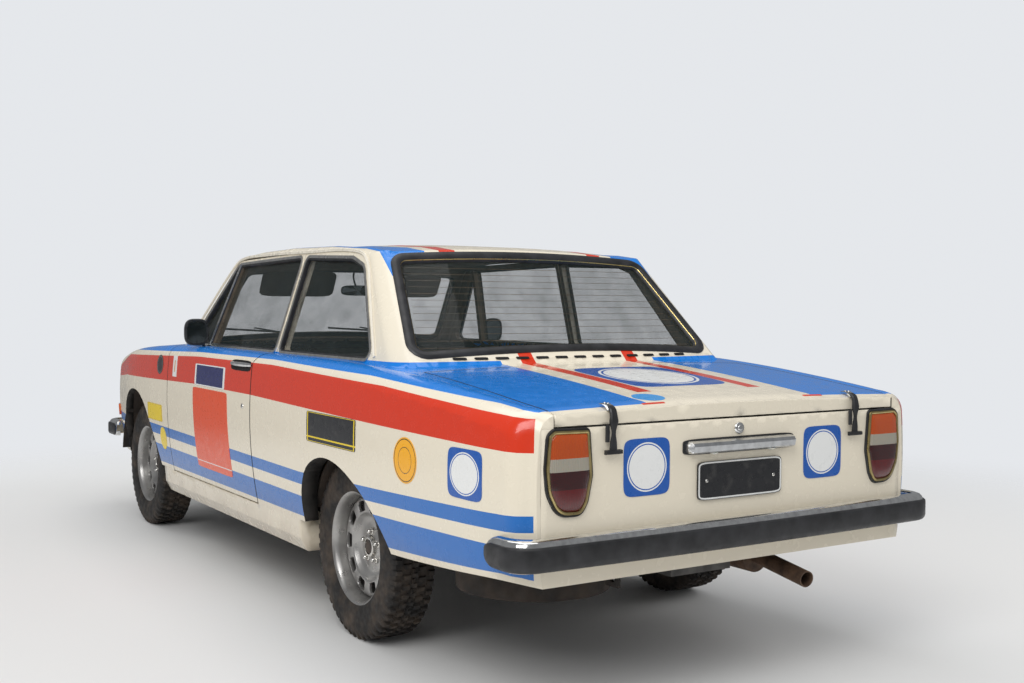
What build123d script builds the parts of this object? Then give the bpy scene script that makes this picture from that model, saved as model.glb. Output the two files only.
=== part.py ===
"""Two-door three-box rally saloon of the early 1970s, in millimetres, standing on its tyres.

X points forwards, Y to the car's left and Z up. The origin is on the ground, in the middle of the
car's length and width. Outer panels are cut from two hollow forms: the lower body, lofted through
the cross sections in BODY_SECTIONS, and the cabin, lofted between two plan sections and closed on
top by the roof, lofted through ROOF_SECTIONS. Left pieces are mirrored to make the right ones.
"""

import os
from math import cos, pi, sin

from build123d import *

# Driving dimensions
OVERALL_LENGTH = 4640
WHEELBASE = 2620
FRONT_AXLE_X = 1520
REAR_AXLE_X = FRONT_AXLE_X - WHEELBASE
WHEEL_Y = 700
TYRE_R = 324
TYRE_W = 176
RIM_R = 208
BEAD_R = 190
FRONT_FACE_X = 2235
REAR_FACE_X = -2240
END_WALL = 30
ROOF_SKIN = 25
TOP_SKIN = 25
PILLAR = 40
SHUT_GAP = 6
SEAT_GAP = 0.3
WAIST_Z = 1003
GLASS_T = 5
GLASS_INSET = 14
WIDE_Z = 740
SHOULDER_DROP = 58

# Lower body, one row per cross section, from the nose back.
# Columns: x, z of lower edge, half width at lower edge, widest, at shoulder foot, at shoulder top,
# z of shoulder top, z on the centre line, wall thickness
BODY_SECTIONS = [
    (FRONT_FACE_X, 350, 660, 700, 696, 640, 842, 852, 30),
    (2205, 346, 696, 738, 732, 672, 858, 868, 30),
    (2130, 345, 722, 762, 755, 700, 878, 890, 30),
    (1950, 350, 756, 795, 786, 728, 906, 924, 30),
    (1650, 370, 805, 842, 830, 762, 940, 962, 30),
    (1200, 375, 830, 866, 855, 785, 972, 998, 34),
    (850, 375, 832, 868, 858, 790, 985, 1012, 60),
    (-300, 375, 832, 868, 858, 787, 992, 1015, 60),
    (-1150, 375, 832, 867, 856, 768, 986, 1006, 60),
    (-1500, 380, 830, 862, 850, 748, 968, 982, 40),
    (-1850, 398, 820, 848, 838, 732, 938, 952, 30),
    (-2130, 416, 800, 828, 820, 716, 908, 922, 30),
    (-2205, 416, 782, 808, 800, 706, 900, 912, 30),
    (REAR_FACE_X, 405, 738, 760, 752, 690, 890, 902, 30),
]

# Cabin walls as plan sections. Columns: z, front centre x, front corner x and y, side start x and y,
# side middle y, side end x and y, rear corner x and y, rear centre x
CABIN_SECTIONS = [
    (900, 1074, 1018, 696, 962, 783, 793, -1347, 764, -1441, 714, -1494),
    (1480, 461, 411, 557, 362, 612, 628, -820, 607, -895, 568, -932),
]

# Roof, one row per cross section from the windscreen back. Columns: x, z of cant rail, y of cant
# rail, y and z of the turn onto the top, z on the centre line
ROOF_SECTIONS = [
    (620, 1335, 668, 575, 1378, 1392),
    (520, 1355, 662, 575, 1400, 1414),
    (430, 1368, 660, 575, 1412, 1428),
    (200, 1382, 658, 575, 1424, 1444),
    (-150, 1388, 656, 575, 1430, 1452),
    (-550, 1380, 654, 572, 1424, 1447),
    (-850, 1364, 650, 566, 1408, 1430),
    (-1000, 1348, 645, 560, 1390, 1410),
    (-1120, 1325, 640, 550, 1364, 1382),
]

# Side windows and door, as x and z points seen from the left
DOOR_GLASS = [(795, WAIST_Z), (438, 1370), (-334, 1384), (-300, WAIST_Z)]
VENT_BAR = [(530, WAIST_Z), (505, WAIST_Z), (404, 1375), (424, 1375)]
QUARTER_GLASS = [(-350, WAIST_Z), (-384, 1382), (-800, 1368), (-905, 1335), (-1150, WAIST_Z)]
DOOR_FRONT_X = 850
DOOR_REAR_X = -285
DOOR_BOTTOM_Z = 375
DOOR_REAR_GAP = 8
DOOR_OUTLINE = [
    (DOOR_FRONT_X, DOOR_BOTTOM_Z),
    (DOOR_FRONT_X, 979),
    (447, 1392),
    (-357, 1407),
    (-323, 1000),
    (DOOR_REAR_X, 955),
    (DOOR_REAR_X, DOOR_BOTTOM_Z),
]
GLASS_CORNER_R = 22

# Bonnet and boot lid hinges: pivot x and z, radius of the lid's front edge round it, y of the arm's
# inner face, and the gooseneck arm's path from the pivot to the underside of the panel
HINGE_ARM_T = 16
HINGE_PIN_R = 5
HINGE_BARREL_R = 9
BONNET_PIVOT = (990, 944)
BONNET_EDGE_R = 96
BONNET_ARM_Y = 592
BONNET_ARM = [(0, 0), (44, -84), (75, -105), (120, -85), (140, -30), (130, 22)]
LID_PIVOT = (-1355, 938)
LID_EDGE_R = 128
LID_ARM_Y = 644
LID_ARM = [(0, 0), (-34, -120), (-75, -140), (-135, -115), (-165, -50), (-152, 14)]

# Wheel arches, as x and z points; the lower ends lie below the panels
FRONT_ARCH = [
    (1040, 300),
    (1075, 430),
    (1180, 585),
    (1330, 700),
    (1500, 733),
    (1660, 700),
    (1790, 590),
    (1860, 430),
    (1880, 300),
]
REAR_ARCH = [
    (-788, 300),
    (-788, 480),
    (-845, 580),
    (-960, 636),
    (-1090, 642),
    (-1250, 592),
    (-1370, 520),
    (-1460, 430),
    (-1540, 300),
]
ARCH_CORNER_R = 60

# Bonnet and boot lid, seen from above
BONNET_REAR_X = BONNET_PIVOT[0]
BONNET_FRONT_X = 2190
BONNET_REAR_Y = 712
BONNET_FRONT_Y = 628
LID_FRONT_X = LID_PIVOT[0]
LID_Y = 698
LID_LIP_Z = 857

# Sill, floor and inner panels
SILL_IN_Y = 700
SILL_Z = 252
FLOOR_T = 20
FLOOR_FRONT_X = 960
KICK_X = -700
BOOT_FLOOR_Z = 440
TUNNEL_R = 130
HOUSE_R = 352
HOUSE_T = 14
HOUSE_IN_Y = 572
ENGINE_BAY_Y = 400
INNER_T = 14

# Screens, roof joint and end panels
SCREEN_CORNER_R = 55
SCREEN_FOOT_Y = 672
SCREEN_FOOT_Z = 1006
ROOF_JOINT_Y = 600
ROOF_JOINT_Z = 1372
REAR_PANEL_X = -2195
REAR_PANEL_Y = 745
GRILLE_Y = 652
GRILLE_LOW_Z = 606
GRILLE_HIGH_Z = 806
SIDE_SPLIT_X = DOOR_FRONT_X + SHUT_GAP
SILL_FRONT_X = 1012
SILL_REAR_X = -742

# Wheels and running gear
STUB_R = 24
HUB_BORE_R = STUB_R + SEAT_GAP
RIM_HALF = 76
KINGPIN_Y = 620
KNUCKLE_LOW_Z = 205
KNUCKLE_HIGH_Z = 465
ARM_LOW_Z = 176
ARM_T = 28.7
UPPER_ARM_T = 16
SLOT_COUNT = 10
WHEEL_SIDES = 48
SLOT_R = 147
AXLE_TUBE_R = 38
DIFF_R = 88
SPRING_R = 52
SPRING_Y = 470

# Bumpers, lamps, grille and plate
BUMPER_FRONT_X = OVERALL_LENGTH / 2
BUMPER_T = 45
BUMPER_H = 94
REAR_BUMPER_Z = 460
FRONT_BUMPER_Z = 415
GRILLE_BARS = 8
GRILLE_POSTS = 14
GRILLE_HALF = 440
HEADLAMP_Y = 546
HEADLAMP_R = 89
LENS_PROUD = 13

# Cabin fittings
WHEEL_HUB = (425, 365, 815)
COLUMN_SLOPE = 22
STEERING_R = 200
SEAT_Y = 365

# Places of the inner panels
WELL_X = -1790
WELL_Y = 470
WELL_R = 250
WELL_LOW_Z = 300
HOUSE_OUT_Y = 780
BOOT_SIDE_Y = 765
BOOT_END_X = -2120
FIREWALL_TOP_Z = 955
BULKHEAD_X = -1250
SHELF_Z = 940
DECK_EDGE_X = -1470
BAY_FRONT_X = 2150
TAIL_PIPE_X = -2270
TAIL_PIPE_R = 27
PIPE_R = 24
SILENCER_R = 62
GEARBOX_X = 980
TOW_EYE_R = 13
TOW_EYE_Y = 300
REAR_EYE_Y = 430
GRILLE_X = 2206


def block(x0, x1, y0, y1, z0, z1):
    """Return a box between two corners."""
    return Pos((x0 + x1) / 2, (y0 + y1) / 2, (z0 + z1) / 2) * Box(abs(x1 - x0), abs(y1 - y0), abs(z1 - z0))


def side_prism(points, y0, y1, radius=0):
    """Return a prism along Y of an outline drawn in x and z."""
    outline = make_face(Polyline(*points, close=True))
    if radius:
        outline = fillet(outline.vertices(), radius)
    return Pos(0, y1, 0) * extrude(Plane.XZ * outline, y1 - y0)


def plan_prism(points, z0, z1):
    """Return a prism along Z of an outline drawn in x and y."""
    return Pos(0, 0, z0) * extrude(make_face(Polyline(*points, close=True)), z1 - z0)


def rod(start, end, radius):
    """Return a round bar between two points."""
    axis = Vector(*end) - Vector(*start)
    return extrude(Plane(origin=start, z_dir=axis) * Circle(radius), axis.length)


def mirrored(solid):
    """Return the same piece on the car's other side."""
    return mirror(solid, Plane.XZ)


def body_section(row, wall_share, skin, drop):
    """Return the lower body's cross section at one row of BODY_SECTIONS, inset by its wall.

    The inner form, at a full wall's inset, is drawn with straight runs between the same points.
    """
    x, z_low, y_low, y_wide, y_band, y_top, z_top, z_mid, wall = row
    inset = wall * wall_share
    z_band = z_top - SHOULDER_DROP
    low = (x, y_low - inset, z_low - drop)
    wide = (x, y_wide - inset, min(WIDE_Z, (z_low + z_band) / 2 + 90))
    band = (x, y_band - inset, z_band - skin / 2)
    turn = (x, y_band - inset - 0.3 * (y_band - y_top), z_top - skin - 0.28 * SHOULDER_DROP)
    top = (x, y_top - inset, z_top - skin)
    crown = (x, 0, z_mid - skin)
    right = [(px, -py, pz) for px, py, pz in (low, wide, band, turn, top)]
    if wall_share == 1:
        return make_face(Polyline(low, wide, band, turn, top, crown, *reversed(right), close=True))
    edges = [
        Line(right[0], low),
        ThreePointArc(low, wide, band),
        ThreePointArc(band, turn, top),
        ThreePointArc(top, crown, right[4]),
        ThreePointArc(right[4], right[3], right[2]),
        ThreePointArc(right[2], right[1], right[0]),
    ]
    return make_face(edges)


def lower_form(wall_share=0, skin=0, end_wall=0, drop=0):
    """Return the lower body as one closed form, inset by the given walls."""
    nose, tail = list(BODY_SECTIONS[0]), list(BODY_SECTIONS[-1])
    nose[0] -= end_wall
    tail[0] += end_wall
    between = [row for row in BODY_SECTIONS[1:-1] if tail[0] < row[0] < nose[0]]
    rows = [nose, *between, tail]
    return loft([body_section(row, wall_share, skin, drop) for row in rows], ruled=True)


def cabin_section(row, inset):
    """Return the cabin's plan section at one row of CABIN_SECTIONS, inset by its wall."""
    z, nose, fx, fy, sx, sy, my, ex, ey, rx, ry, tail = row
    front = (fx - inset, fy - inset, z)
    start = (sx - inset, sy - inset, z)
    end = (ex + inset, ey - inset, z)
    back = (rx + inset, ry - inset, z)
    front_turn = ((fx + sx) / 2 + 12 - inset, (fy + sy) / 2 + 12 - inset, z)
    back_turn = ((ex + rx) / 2 - 10 + inset, (ey + ry) / 2 + 10 - inset, z)
    middle = ((sx + ex) / 2, my - inset, z)
    left = (front, front_turn, start, middle, end, back_turn, back)
    other = [(px, -py, z) for px, py, _ in left]
    edges = [
        ThreePointArc(other[0], (nose - inset, 0, z), front),
        ThreePointArc(front, front_turn, start),
        ThreePointArc(start, middle, end),
        ThreePointArc(end, back_turn, back),
        ThreePointArc(back, (tail + inset, 0, z), other[6]),
        ThreePointArc(other[6], other[5], other[4]),
        ThreePointArc(other[4], other[3], other[2]),
        ThreePointArc(other[2], other[1], other[0]),
    ]
    return make_face(edges)


def roof_section(row, inset):
    """Return the roof's cross section at one row of ROOF_SECTIONS, closed well below it."""
    x, z_rail, y_rail, y_turn, z_turn, z_mid = row
    low = (x, 900, 880)
    foot = (x, 900, z_rail - 200)
    rail = (x, y_rail - inset * 0.6, z_rail - inset * 0.8)
    bend = (x, (y_rail + y_turn) / 2 + 22 - inset * 0.6, (z_rail + z_turn) / 2 + 10 - inset)
    turn = (x, y_turn - inset * 0.3, z_turn - inset)
    crown = (x, 0, z_mid - inset)
    right = [(px, -py, pz) for px, py, pz in (low, foot, rail, bend, turn)]
    edges = [
        Line(right[0], low),
        Line(low, foot),
        Line(foot, rail),
        ThreePointArc(rail, bend, turn),
        ThreePointArc(turn, crown, right[4]),
        ThreePointArc(right[4], right[3], right[2]),
        Line(right[2], right[1]),
        Line(right[1], right[0]),
    ]
    return make_face(edges)


def cabin_form(wall=0, skin=0):
    """Return the cabin as one closed form, inset by the given pillar depth and roof skin."""
    walls = loft([cabin_section(row, wall) for row in CABIN_SECTIONS], ruled=True)
    first, last = ROOF_SECTIONS[0], ROOF_SECTIONS[-1]
    rows = [(1200, *first[1:])] + ROOF_SECTIONS + [(-1600, *last[1:])]
    cap = loft([roof_section(row, skin) for row in rows], ruled=True)
    return walls & cap


def pivot_disc(pivot, radius, half_width):
    """Return a round solid about a hinge's axis, for cutting the edge that swings past another."""
    x, z = pivot
    return rod((x, -half_width, z), (x, half_width, z), radius)


def gooseneck(pivot, path, inner_y):
    """Return a hinge's arm with its bored barrel, and the lug with the pin that it turns on."""
    x, z = pivot
    outer_y = inner_y + HINGE_ARM_T
    arm = Pos(x, outer_y, z) * extrude(Plane.XZ * trace(Polyline(*path), HINGE_ARM_T), HINGE_ARM_T)
    arm += rod((x, inner_y, z), (x, outer_y, z), HINGE_BARREL_R)
    arm -= rod((x, inner_y, z), (x, outer_y, z), HINGE_PIN_R + SEAT_GAP)
    lug_x = (x - HINGE_BARREL_R, x + HINGE_BARREL_R)
    lug = block(*lug_x, inner_y - 14, inner_y - SEAT_GAP, z - HINGE_BARREL_R, z + 22)
    lug += rod((x, inner_y - 14, z), (x, outer_y, z), HINGE_PIN_R)
    return arm, lug


def wheel_ring(outline):
    """Return a flat-sided ring about the axle from an outline of offset and radius, flat at the bottom."""
    reach = 1 / cos(pi / WHEEL_SIDES)
    rings = []
    for k in range(WHEEL_SIDES):
        angle = 2 * pi * (k + 0.5) / WHEEL_SIDES
        rings.append([(r * reach * sin(angle), y, -r * reach * cos(angle)) for y, r in outline])
    facets = []
    for k, here in enumerate(rings):
        before = rings[k - 1]
        for i, corner in enumerate(here):
            facets.append(Face(Wire.make_polygon([before[i - 1], before[i], corner, here[i - 1]])))
    return Solid(Shell(facets))


pieces = {}


def add_pair(stem, left):
    """Keep a left piece and its mirror image as two nodes."""
    pieces[stem + "_left"] = left
    pieces[stem + "_right"] = mirrored(left)


# Hollow forms that the outer panels are cut from
lower = lower_form()
cabin = cabin_form()
cabin_hollow = cabin_form(PILLAR, ROOF_SKIN)
lower_shell = lower - lower_form(1, TOP_SKIN, END_WALL, 60) - cabin_hollow
cabin_shell = cabin - cabin_hollow - lower
LEFT = block(-3000, 3000, 0, 1000, 0, 2000)
lower_left = lower_shell & LEFT
cabin_left = cabin_shell & LEFT

# Outlines of the moving panels, and of the holes that they close with a shut line round them
door_face = make_face(Polyline(*DOOR_OUTLINE, close=True))
door_hole_face = offset(door_face, amount=SHUT_GAP, kind=Kind.INTERSECTION)
door_prism = Pos(0, 1000, 0) * extrude(Plane.XZ * door_face, 1000 - ROOF_JOINT_Y)
door_hole = Pos(0, 1000, 0) * extrude(Plane.XZ * door_hole_face, 1000 - ROOF_JOINT_Y + SHUT_GAP)
door_hole += block(DOOR_REAR_X - DOOR_REAR_GAP, DOOR_REAR_X, 400, 1000, DOOR_BOTTOM_Z - SHUT_GAP, 950)
bonnet_points = [
    (BONNET_REAR_X, -BONNET_REAR_Y),
    (BONNET_FRONT_X, -BONNET_FRONT_Y),
    (BONNET_FRONT_X, BONNET_FRONT_Y),
    (BONNET_REAR_X, BONNET_REAR_Y),
]
bonnet_face = make_face(Polyline(*bonnet_points, close=True))
bonnet_prism = Pos(0, 0, 800) * extrude(offset(bonnet_face, amount=-SHUT_GAP, kind=Kind.INTERSECTION), 400)
bonnet_hole = Pos(0, 0, 800) * extrude(bonnet_face, 400)
bonnet_prism -= pivot_disc(BONNET_PIVOT, BONNET_EDGE_R, 1000)
lid_prism = block(REAR_FACE_X - 60, LID_FRONT_X, -LID_Y, LID_Y, LID_LIP_Z, 1200)
lid_prism -= pivot_disc(LID_PIVOT, LID_EDGE_R, 1000)
lid_hole = block(
    REAR_FACE_X - 60, LID_FRONT_X, -LID_Y - SHUT_GAP, LID_Y + SHUT_GAP, LID_LIP_Z - SHUT_GAP, 1200
)
front_arch = side_prism(FRONT_ARCH, 500, 1000, ARCH_CORNER_R)
rear_arch = side_prism(REAR_ARCH, 590, 1000, ARCH_CORNER_R)
door_light = side_prism(DOOR_GLASS, 500, 1000, GLASS_CORNER_R)
quarter_light = side_prism(QUARTER_GLASS, 500, 1000, GLASS_CORNER_R)


def screen_opening(foot, head, half_low, half_high, low, high):
    """Return a tapered prism through a raked screen, square to the line from foot to head."""
    up = (Vector(head[0], 0, head[1]) - Vector(foot[0], 0, foot[1])).normalized()
    across = Vector(0, 1, 0)
    plane = Plane(origin=(foot[0], 0, foot[1]), x_dir=across, z_dir=across.cross(up))
    points = [(-half_low, low), (half_low, low), (half_high, high), (-half_high, high)]
    outline = make_face(Polyline(*points, close=True))
    outline = fillet(outline.vertices(), SCREEN_CORNER_R)
    return extrude(plane * outline, 170, both=True)


windscreen_hole = screen_opening((1018, 900), (411, 1480), 672, 580, 150, 660)
rear_window_hole = screen_opening((-1441, 900), (-895, 1480), 672, 574, 155, 648)

# Roof, side frames, wings, bonnet, lid and the panels at both ends
roof_zone = block(-1300, 900, -ROOF_JOINT_Y, ROOF_JOINT_Y, ROOF_JOINT_Z, 1600)
cowl_zone = block(700, 1200, -SCREEN_FOOT_Y, SCREEN_FOOT_Y, 800, SCREEN_FOOT_Z)
deck_zone = block(-1600, -1200, -SCREEN_FOOT_Y, SCREEN_FOOT_Y, 800, SCREEN_FOOT_Z)
cabin_frame = cabin_shell - windscreen_hole - rear_window_hole
pieces["roof"] = cabin_frame & roof_zone

front_panel_x = BONNET_FRONT_X
cowl_top = block(SIDE_SPLIT_X, BONNET_REAR_X, -BONNET_REAR_Y, BONNET_REAR_Y, 900, 1200)
cowl_top += pivot_disc(BONNET_PIVOT, BONNET_EDGE_R - SHUT_GAP, BONNET_REAR_Y)
deck_y = LID_Y + SHUT_GAP
deck_top = block(LID_FRONT_X, -1200, -deck_y, deck_y, 900, 1200)
deck_top += pivot_disc(LID_PIVOT, LID_EDGE_R - SHUT_GAP, deck_y)
rear_panel_zone = block(REAR_FACE_X - 60, REAR_PANEL_X, -REAR_PANEL_Y, REAR_PANEL_Y, 0, LID_LIP_Z - SHUT_GAP)

sill_points = [
    (SILL_IN_Y, SILL_Z),
    (800, SILL_Z),
    (826, 300),
    (832, DOOR_BOTTOM_Z),
    (SILL_IN_Y, DOOR_BOTTOM_Z),
]
sill_face = make_face(Polyline(*[(0, y, z) for y, z in sill_points], close=True))
sill = Pos(SILL_REAR_X, 0, 0) * extrude(sill_face, SILL_FRONT_X - SILL_REAR_X, dir=(1, 0, 0))

side = lower_left & block(REAR_FACE_X - 60, SIDE_SPLIT_X, 0, 1000, 0, 1200)
side = side - lid_hole - deck_top - rear_panel_zone
side = side + (cabin_left - windscreen_hole - rear_window_hole - roof_zone - cowl_zone - deck_zone)
side = side + sill - door_hole - quarter_light - rear_arch
side_solids = side.solids().sort_by(SortBy.VOLUME)
side = side_solids[-1]
add_pair("side", side)

wing = lower_left & block(DOOR_FRONT_X + SHUT_GAP, front_panel_x, 0, 1000, 0, 1200)
wing = wing - bonnet_hole - cowl_top - front_arch - sill
wing_solids = wing.solids().sort_by(SortBy.VOLUME)
add_pair("front_wing", wing_solids[-1])

door = (lower_left & door_prism) + (cabin_left & door_prism) - door_light
vent_bar = side_prism(VENT_BAR, 500, 1000) & cabin_left & side_prism(DOOR_GLASS, 500, 1000)
door = door + vent_bar
door = door.solids().sort_by(SortBy.VOLUME)[-1]
add_pair("door", door)

bonnet_arm, bonnet_lug = gooseneck(BONNET_PIVOT, BONNET_ARM, BONNET_ARM_Y)
lid_arm, lid_lug = gooseneck(LID_PIVOT, LID_ARM, LID_ARM_Y)
pieces["bonnet"] = (lower_shell & bonnet_prism) + bonnet_arm + mirrored(bonnet_arm)
pieces["boot_lid"] = (lower_shell & lid_prism) + lid_arm + mirrored(lid_arm)
pieces["rear_panel"] = lower_shell & rear_panel_zone
deck = (lower_shell & deck_top) + (cabin_frame & deck_zone) + lid_lug + mirrored(lid_lug)
cowl = (lower_shell & cowl_top) + (cabin_frame & cowl_zone) + bonnet_lug + mirrored(bonnet_lug)
pieces["rear_deck"] = deck
pieces["cowl"] = cowl
grille_hole = block(2100, 2300, -GRILLE_Y, GRILLE_Y, GRILLE_LOW_Z, GRILLE_HIGH_Z)
front_panel = (lower_shell & block(front_panel_x, 2300, -1000, 1000, 0, 1200)) - grille_hole
pieces["front_panel"] = front_panel

# Glass, let into the openings that were cut above
above_waist = block(-2000, 2000, -1000, 1000, 950, 1600)
glass_inner = GLASS_INSET + GLASS_T
glass_sheet = cabin_form(GLASS_INSET, GLASS_INSET) - cabin_form(glass_inner, glass_inner)
glass_sheet = glass_sheet & above_waist
pieces["windscreen"] = glass_sheet & windscreen_hole
pieces["rear_window"] = glass_sheet & rear_window_hole
quarter_pane = glass_sheet & quarter_light & LEFT
pieces["quarter_windows"] = Compound([quarter_pane, mirrored(quarter_pane)])
door_pane = (glass_sheet & door_light & LEFT) - side_prism(VENT_BAR, 500, 1000)
add_pair("door_glass", door_pane)

# Floor pan with its tunnel, boot floor, spare-wheel well and wheel houses
tunnel = Pos(KICK_X, 0, SILL_Z) * extrude(Plane.YZ * Circle(TUNNEL_R), FLOOR_FRONT_X - KICK_X)
tunnel_circle = Plane.YZ * Circle(TUNNEL_R - HOUSE_T)
tunnel_hollow = Pos(KICK_X, 0, SILL_Z) * extrude(tunnel_circle, FLOOR_FRONT_X - KICK_X)
floor = block(KICK_X, FLOOR_FRONT_X, -SILL_IN_Y, SILL_IN_Y, SILL_Z, SILL_Z + FLOOR_T)
floor += tunnel & block(KICK_X, FLOOR_FRONT_X, -200, 200, SILL_Z, 600)
floor += block(KICK_X, KICK_X + FLOOR_T, -SILL_IN_Y, SILL_IN_Y, SILL_Z, BOOT_FLOOR_Z)
floor -= tunnel_hollow
pieces["floor_pan"] = floor
boot_wide_x = REAR_AXLE_X - HOUSE_R - HOUSE_T
boot = block(REAR_PANEL_X, KICK_X, -HOUSE_IN_Y, HOUSE_IN_Y, BOOT_FLOOR_Z - FLOOR_T, BOOT_FLOOR_Z)
boot += block(BOOT_END_X, boot_wide_x, -BOOT_SIDE_Y, BOOT_SIDE_Y, BOOT_FLOOR_Z - FLOOR_T, BOOT_FLOOR_Z)
well_outer = Pos(WELL_X, WELL_Y, WELL_LOW_Z) * extrude(Circle(WELL_R), BOOT_FLOOR_Z - WELL_LOW_Z)
well_inner = Pos(WELL_X, WELL_Y, WELL_LOW_Z + HOUSE_T) * extrude(Circle(WELL_R - HOUSE_T), BOOT_FLOOR_Z)
boot = boot + well_outer - well_inner
boot += block(-2190, -2130, REAR_EYE_Y - 6, REAR_EYE_Y + 6, 360, BOOT_FLOOR_Z - FLOOR_T)
boot -= rod((-2165, REAR_EYE_Y - 6, 386), (-2165, REAR_EYE_Y + 6, 386), TOW_EYE_R)
pieces["boot_floor"] = boot
axle_y = Pos(REAR_AXLE_X, HOUSE_IN_Y, TYRE_R)
house_form = axle_y * extrude(Plane.XZ * Circle(HOUSE_R + HOUSE_T), HOUSE_IN_Y - HOUSE_OUT_Y)
house_hollow = Pos(0, HOUSE_T, 0) * axle_y * extrude(Plane.XZ * Circle(HOUSE_R), HOUSE_IN_Y - HOUSE_OUT_Y)
above_floor = block(REAR_AXLE_X - 500, REAR_AXLE_X + 500, 0, 1000, BOOT_FLOOR_Z - FLOOR_T, 1000)
add_pair("wheel_house", ((house_form - house_hollow) & above_floor) - boot)

# Bulkheads and the engine bay's side panels
firewall = block(FLOOR_FRONT_X, FLOOR_FRONT_X + INNER_T, -SILL_IN_Y, SILL_IN_Y, SILL_Z, FIREWALL_TOP_Z)
firewall -= Pos(FLOOR_FRONT_X, 0, SILL_Z) * extrude(Plane.YZ * Circle(TUNNEL_R - HOUSE_T), INNER_T)
pieces["firewall"] = firewall
bulkhead = block(BULKHEAD_X, BULKHEAD_X + INNER_T, -HOUSE_IN_Y, HOUSE_IN_Y, BOOT_FLOOR_Z, SHELF_Z)
bulkhead += block(DECK_EDGE_X, BULKHEAD_X + INNER_T, -620, 620, SHELF_Z - INNER_T, SHELF_Z)
pieces["rear_bulkhead"] = bulkhead
inner_wings = []
for hand in (1, -1):
    y_in = hand * ENGINE_BAY_Y
    y_out = hand * (ENGINE_BAY_Y + INNER_T)
    panel = block(FLOOR_FRONT_X + INNER_T, BAY_FRONT_X, min(y_in, y_out), max(y_in, y_out), 300, 800)
    rail_y = sorted((y_in, hand * 340))
    panel += block(FLOOR_FRONT_X + INNER_T, BAY_FRONT_X, *rail_y, 300, 380)
    inner_wings.append(panel)
cradle = block(BAY_FRONT_X, BAY_FRONT_X + INNER_T, -640, 640, 330, 640)
cradle += inner_wings[0]
cradle += inner_wings[1]
cradle += block(BAY_FRONT_X, 2230, TOW_EYE_Y - 6, TOW_EYE_Y + 6, 296, 340)
cradle -= rod((2205, TOW_EYE_Y - 6, 318), (2205, TOW_EYE_Y + 6, 318), TOW_EYE_R)
pieces["inner_wings"] = cradle

# Engine with its gearbox, and the crossmember that carries it and the front arms
engine = block(1240, 1800, -170, 170, 400, 800) + block(1300, 1740, -120, 120, 330, 400)
engine += block(GEARBOX_X, 1240, -105, 105, 285, 500)
pieces["engine"] = engine
member = block(FRONT_AXLE_X - 60, FRONT_AXLE_X + 60, -340, 340, 262, 329.7)
for hand in (1, -1):
    arm = [
        (FRONT_AXLE_X - 130, hand * 330),
        (FRONT_AXLE_X + 130, hand * 330),
        (FRONT_AXLE_X + 26, hand * KINGPIN_Y),
        (FRONT_AXLE_X - 26, hand * KINGPIN_Y),
    ]
    member += plan_prism(arm, ARM_LOW_Z, ARM_LOW_Z + ARM_T)
    member += Pos(FRONT_AXLE_X, hand * KINGPIN_Y, ARM_LOW_Z) * extrude(Circle(26), ARM_T)
    bracket_y = sorted((hand * 300, hand * 340))
    member += block(FRONT_AXLE_X - 130, FRONT_AXLE_X + 130, *bracket_y, ARM_LOW_Z, 300)
pieces["front_crossmember"] = member
arms = []
for hand in (1, -1):
    points = [
        (FRONT_AXLE_X - 90, hand * (ENGINE_BAY_Y + INNER_T)),
        (FRONT_AXLE_X + 90, hand * (ENGINE_BAY_Y + INNER_T)),
        (FRONT_AXLE_X + 22, hand * KINGPIN_Y),
        (FRONT_AXLE_X - 22, hand * KINGPIN_Y),
    ]
    upper_low_z = KNUCKLE_HIGH_Z + SEAT_GAP
    upper_arm = plan_prism(points, upper_low_z, KNUCKLE_HIGH_Z + UPPER_ARM_T)
    joint_disc = extrude(Circle(22), UPPER_ARM_T - SEAT_GAP)
    arms.append(upper_arm + Pos(FRONT_AXLE_X, hand * KINGPIN_Y, upper_low_z) * joint_disc)
pieces["upper_arms"] = Compound(arms)

# Knuckles, each with the stub axle that its wheel turns on
upright_y = (KINGPIN_Y - 20, KINGPIN_Y + 20)
upright = block(FRONT_AXLE_X - 24, FRONT_AXLE_X + 24, *upright_y, KNUCKLE_LOW_Z, KNUCKLE_HIGH_Z)
stub = rod((FRONT_AXLE_X, KINGPIN_Y, TYRE_R), (FRONT_AXLE_X, WHEEL_Y + 22, TYRE_R), STUB_R)
steer_arm = block(FRONT_AXLE_X - 120, FRONT_AXLE_X, KINGPIN_Y - 24, KINGPIN_Y - 8, 240, 262)
add_pair("knuckle", upright + stub + steer_arm)

# Live rear axle with trailing arms and springs
axle = rod((REAR_AXLE_X, -610, TYRE_R), (REAR_AXLE_X, 610, TYRE_R), AXLE_TUBE_R)
axle += rod((REAR_AXLE_X, -WHEEL_Y - 22, TYRE_R), (REAR_AXLE_X, WHEEL_Y + 22, TYRE_R), STUB_R)
axle += Pos(REAR_AXLE_X, 0, TYRE_R) * Sphere(DIFF_R)
for hand in (1, -1):
    y = hand * SPRING_Y
    axle += block(REAR_AXLE_X, KICK_X - 20, y - 20, y + 20, 262, 312)
    axle += Pos(REAR_AXLE_X, y, 0) * block(-30, 30, -34, 34, 262, TYRE_R)
    spring = Pos(REAR_AXLE_X, y, TYRE_R) * extrude(Circle(SPRING_R), BOOT_FLOOR_Z - FLOOR_T - TYRE_R)
    axle += spring
    axle += block(KICK_X - 60, KICK_X - 20, y - 26, y + 26, 262, BOOT_FLOOR_Z - FLOOR_T)
nose = rod((REAR_AXLE_X, 0, TYRE_R), (REAR_AXLE_X + DIFF_R + 40, 0, TYRE_R), 46)
pieces["rear_axle"] = axle + nose
shaft_start = (REAR_AXLE_X + DIFF_R + 40 + SEAT_GAP, 0, TYRE_R)
pieces["propshaft"] = rod(shaft_start, (GEARBOX_X - SEAT_GAP, 0, TYRE_R), 30)

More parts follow.
